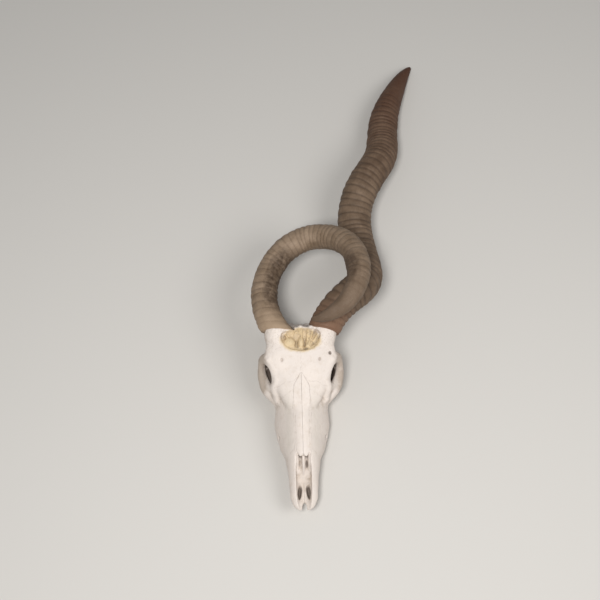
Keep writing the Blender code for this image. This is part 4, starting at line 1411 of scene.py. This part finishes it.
def bleached_bone():
    material, tree, shader = new_material("sun_bleached_bone", roughness=0.72, ior=1.54)
    place = add(tree, "TexCoord", {}).outputs["Object"]
    lengthwise = add(tree, "Mapping", {"Vector": place, "Scale": (1.0, 0.22, 1.0)}).outputs["Vector"]
    patterns = {}
    for name, where, size, detail, roughness in (
        ("patches", place, 34.0, 4.0, 0.6),
        ("blotches", place, 9.0, 6.0, 0.65),
        ("fibres", lengthwise, 1.8, 4.0, 0.5),
        ("grain", place, 0.9, 3.0, 0.5),
    ):
        inputs = {"Vector": where, "Scale": per_mm(size), "Detail": detail, "Roughness": roughness}
        patterns[name] = add(tree, "TexNoise", inputs).outputs[0]
    blotches, fibres = patterns["blotches"], patterns["fibres"]
    marks = attributes(tree, ("sinus", "flank_shade", "hollow", "grime_and_shade", "suture", "painted_shade", "porous"))

    colour = stain(tree, BONE_CREAM, BONE_COOL, patterns["patches"], 0.35, 0.68)
    colour = stain(tree, colour, BONE_BLOTCH, blotches, 0.52, 0.80, 0.55)
    colour = stain(tree, colour, BONE_BLOTCH, fibres, 0.50, 0.85, 0.35)
    colour = stain(tree, colour, SINUS_OCHRE, marks["sinus"], 0.0, 1.0)
    # The flank mark lays painted shade beside the nose, the hollow mark lays dust and painted shade,
    # and the grime mark lays painted shade on the socket rims and nose floor and dirt on the underside
    for mark, pattern, low, high, most, over in (
        ("flank_shade", fibres, 0.12, 0.60, 0.75, BONE_FLANK_SHADE),
        ("hollow", blotches, 0.30, 0.66, 0.60, BONE_DUST_AND_SHADE),
        ("grime_and_shade", blotches, 0.10, 0.62, 0.75, BONE_DUST_AND_SHADE),
    ):
        patchy = add(tree, "Math", {0: marks[mark], 1: pattern}, operation="MULTIPLY").outputs[0]
        colour = stain(tree, colour, over, patchy, low, high, most)
    colour = stain(tree, colour, BONE_SUTURE, marks["suture"], 0.35, 1.0, 0.24)
    # Painted shade in enclosed places and deep openings
    colour = stain(tree, colour, BONE_SHADE, marks["painted_shade"], 0.50, 0.92, 0.95)

    # Pores show as dark dots where the mark porous is high
    cells = add(tree, "TexVoronoi", {"Vector": place, "Scale": per_mm(2.6), "Randomness": 1.0})
    dots = add(tree, "MapRange", {0: cells.outputs["Distance"], 1: 0.30, 2: 0.12}).outputs[0]
    pores = add(tree, "Math", {0: dots, 1: marks["porous"]}, operation="MULTIPLY").outputs[0]
    colour = stain(tree, colour, SINUS_DEEP, pores, 0.0, 1.0, 0.4)

    height = add(tree, "Math", {0: fibres, 1: patterns["grain"]}, operation="ADD").outputs[0]
    height = add(tree, "Math", {0: height, 1: pores}, operation="SUBTRACT").outputs[0]
    finish(tree, shader, colour, (blotches, 0.62, 0.82), (height, 0.55, 0.0005))
    return material


bone_finish = bleached_bone()
print(bone_finish.name, "has", len(bone_finish.node_tree.nodes), "nodes")

# %% [markdown]
# ## Worn tooth enamel
# Enamel is the hardest thing in the body and nearly glassy, with an index of refraction of 1.62, but
# in an old skull it is stained and finely crazed. The stain is darkest near the jaw, where cement
# covers the crown, and streaks run up the tooth.

# %% Material for the teeth
ENAMEL_PALE = linear("#E6DAC8")
ENAMEL_STAINED = linear("#BAA182")
CEMENT_BROWN = linear("#725843")


def tooth_enamel():
    material, tree, shader = new_material("worn_tooth_enamel", roughness=0.38, ior=1.62)
    place = add(tree, "TexCoord", {}).outputs["Object"]
    upright = add(tree, "Mapping", {"Vector": place, "Scale": (1.0, 1.0, 0.15)}).outputs["Vector"]
    streaks = add(tree, "TexNoise", {"Vector": upright, "Scale": per_mm(1.6), "Detail": 5.0}).outputs[0]
    stains = add(tree, "TexNoise", {"Vector": place, "Scale": per_mm(5), "Detail": 4.0}).outputs[0]
    crown = attributes(tree, ["crown"])["crown"]
    dark = add(tree, "Math", {0: crown, 1: stains}, operation="MULTIPLY").outputs[0]
    colour = stain(tree, ENAMEL_PALE, ENAMEL_STAINED, streaks, 0.35, 0.70)
    colour = stain(tree, colour, CEMENT_BROWN, dark, 0.25, 0.60, 0.85)
    finish(tree, shader, colour, (stains, 0.28, 0.55), (streaks, 0.4, 0.0003))
    return material


enamel_finish = tooth_enamel()
print(enamel_finish.name, "has", len(enamel_finish.node_tree.nodes), "nodes")

# %% [markdown]
# ## Horn sheath
# Horn is keratin, the stuff of hooves: long fibres in thin shells, index of refraction 1.55, satin
# where it is rubbed and chalky where the weather has lifted the shells. The spiral is reddish at its
# root, grey-brown along its ridges and almost black and smoother at the tip, and both horns have
# painted shade in the grooves between their ridges. The ring horn is older in look: pale and dry
# outside the curve, and inside it dark with painted shade on the inner side mixed with pitted wear.
# Fibres are drawn 1.4 mm wide.

# %% Materials for the horns
def horn_keratin(name, colours, groove_share):
    """Finish of a horn; colours are of ridges, patches, grooves, root and tip, and the groove colour
    also lays painted shade.
    """
    ridge, patch, dark, root, tip = [linear(code) for code in colours]
    material, tree, shader = new_material(name, roughness=0.6, ior=1.55)
    place = add(tree, "TexCoord", {}).outputs["Object"]
    marks = attributes(tree, ("along", "turn_x", "turn_y", "groove", "worn"))
    along = marks["along"]
    round_place = {"X": marks["turn_x"], "Y": marks["turn_y"], "Z": along}
    around = add(tree, "CombineXYZ", round_place).outputs[0]
    drawn_out = add(tree, "Mapping", {"Vector": around, "Scale": (1.0, 1.0, 2.4)}).outputs[0]
    squeezed = add(tree, "Mapping", {"Vector": around, "Scale": (0.5, 0.5, 60.0)}).outputs[0]
    patterns = {}
    for key, where, scale, roughness in (
        ("fibres", drawn_out, 16.0, 0.6),
        ("lines", squeezed, 3.0, 0.6),
        ("patches", place, per_mm(22.0), 0.6),
        ("flakes", place, per_mm(3.2), 0.65),
        ("pits", place, per_mm(7.0), 0.7),
    ):
        inputs = {"Vector": where, "Scale": scale, "Detail": 5.0, "Roughness": roughness}
        patterns[key] = add(tree, "TexNoise", inputs).outputs[0]

    pitted_wear_and_shade = add(tree, "Math", {0: marks["worn"], 1: patterns["pits"]}, operation="MULTIPLY").outputs[0]
    colour = stain(tree, ridge, patch, patterns["patches"], 0.34, 0.66)
    colour = stain(tree, colour, patch, patterns["fibres"], 0.42, 0.75, 0.5)
    # Painted shade in the grooves between the ridges
    colour = stain(tree, colour, dark, marks["groove"], 0.25, 1.0, groove_share)
    # Painted shade and pitted wear on the ring's inner side, where the mark worn is high
    colour = stain(tree, colour, dark, pitted_wear_and_shade, 0.14, 0.62, 0.92)
    colour = stain(tree, colour, root, along, 0.09, 0.0, 0.8)
    colour = stain(tree, colour, tip, along, 0.45, 1.0, 0.95)

    height = patterns["fibres"]
    for finer in ("flakes", "lines"):
        height = add(tree, "Math", {0: height, 1: patterns[finer]}, operation="ADD").outputs[0]
    finish(tree, shader, colour, (patterns["flakes"], 0.6, 0.85), (height, 0.7, 0.0009))
    return material


# The third colour of each horn is the groove colour, laid on as painted shade in the grooves and on the
# ring's inner side
SPIRAL_COLOURS = ("#7B6550", "#594532", "#38281B", "#825F48", "#4A2204")
RING_COLOURS = ("#9C8670", "#7C6751", "#38240F", "#AB9278", "#574331")
spiral_finish = horn_keratin("spiral_horn_keratin", SPIRAL_COLOURS, groove_share=0.6)
ring_finish = horn_keratin("ring_horn_keratin", RING_COLOURS, groove_share=0.32)
print(spiral_finish.name, "and", ring_finish.name, "are made")


def inner_side(obj):
    """1 on the inner side of the ring horn, along its first third and at 0.7 of its length, for painted
    shade mixed with wear.
    """
    places, normals = arrays(obj.data)
    along = np.empty(len(places))
    obj.data.attributes["along"].data.foreach_get("value", along)
    middle = np.array([RING_CENTRE[0] + CENTRING.x, RING_CENTRE[1] + CENTRING.y])
    inward = middle - places[:, :2]
    inward /= np.maximum(np.linalg.norm(inward, axis=1), 1e-6)[:, None]
    facing = np.einsum("ij,ij->i", inward, normals[:, :2])
    first = np.array([smooth_step((0.37 - t) / 0.14) * smooth_step((t - 0.03) / 0.10) for t in along])
    later = np.exp(-(((along - 0.705) / 0.055) ** 2))
    # Inward-facing surfaces get painted shade: a broad band along the first third and at 0.7, and a
    # weaker darkening all along the inner side
    band = np.clip(0.60 + 1.6 * facing, 0.0, 1.0)
    edge = np.clip(0.10 + 0.9 * facing, 0.0, 1.0)
    return np.clip(band * (first + later) + 0.45 * edge, 0.0, 1.0)


# The ring's worn mark carries painted shade with wear; the spiral gets an even share of pitted wear
write(ring_horn.data, "worn", inner_side(ring_horn))
write(spiral_horn.data, "worn", np.full(len(spiral_horn.data.vertices), 0.25))

# %% [markdown]
# ## Put the finishes on and tie the pieces to the solids
# Each finished piece takes the place of its solid in the imported model and rides on the one body. The
# teeth are rooted in the cranium's solid there, so they stand for it together with the skull. The
# distance between the boxes of a piece and its solid is printed, because a piece has to stay where its
# solid is.

# %% Finish, ride and replace
def seat(piece, node, material, slot):
    piece.data.materials.clear()
    piece.data.materials.append(material)
    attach(piece, "root")
    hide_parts(node)


def compare_boxes(piece, node):
    places = arrays(piece.data)[0]
    box = np.array([places.min(axis=0), places.max(axis=0)])
    apart = np.abs(box - np.array(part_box(node))).max()
    triangles = sum(len(p.vertices) - 2 for p in piece.data.polygons)
    print(f"{piece.name}: {triangles} triangles, box within {apart * 1000:.1f} mm of {node}")


for name, piece in bones.items():
    node = name.removesuffix("_bone")
    seat(piece, node, bone_finish, "bleached_bone")
    compare_boxes(piece, node)
seat(spiral_horn, "horn_left", spiral_finish, "spiral_horn")
seat(ring_horn, "horn_right", ring_finish, "ring_horn")
compare_boxes(spiral_horn, "horn_left")
compare_boxes(ring_horn, "horn_right")
for piece in teeth.values():
    seat(piece, "cranium", enamel_finish, "tooth_enamel")
print(len(teeth), "teeth are seated in the skull")

# %% [markdown]
# ## Floor, light and air
# The skull lies on a plain pale floor under a large soft lamp that hangs a little to the left of the
# camera, so every edge throws a thin soft shadow to the right. A weaker lamp on the other side keeps
# the shadows open, and a pale grey sky fills the rest.

# %% Build the floor and the lights
def flat_floor(bm):
    bmesh.ops.create_grid(bm, x_segments=1, y_segments=1, size=4.0)


floor = make("studio_floor", flat_floor)
floor_finish, tree, shader = new_material("matt_floor_paint", roughness=0.9, ior=1.5)
shader.inputs["Base Color"].default_value = linear("#CFCBC5")
floor.data.materials.append(floor_finish)
floor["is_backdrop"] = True


def soft_lamp(name, place, size, power):
    data = bpy.data.lights.new(name, "AREA")
    data.shape = "DISK"
    data.size = size
    data.energy = power
    lamp = new_object(name, data)
    lamp.location = place
    lamp.rotation_euler = (Vector(place)).to_track_quat("Z", "Y").to_euler()


soft_lamp("key_lamp", (-0.30, -1.0, 1.85), size=0.45, power=25.0)
soft_lamp("fill_lamp", (1.1, -0.8, 1.7), size=1.2, power=15.0)
world = bpy.data.worlds.new("pale_room")
world.use_nodes = True
sky = world.node_tree.nodes["Background"].inputs
sky["Color"].default_value = linear("#E6E8EA")
sky["Strength"].default_value = 0.36
bpy.context.scene.world = world
bpy.context.scene.view_settings.view_transform = "Standard"
print("floor, two lamps and a pale room are in place")

# %% [markdown]
# ## The two boxes
# The finished skull has to keep the size of its solids, so both boxes are put down as plain numbers
# and their sizes printed.

# %% Print the sizes of both boxes
boxes = {
    "solids": [[float(v) for v in corner] for corner in solid_box],
    "visual": [[float(v) for v in corner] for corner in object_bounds()],
}
for name, box in boxes.items():
    print(name, "box in mm:", [round(1000 * (high - low), 1) for low, high in zip(*box)])
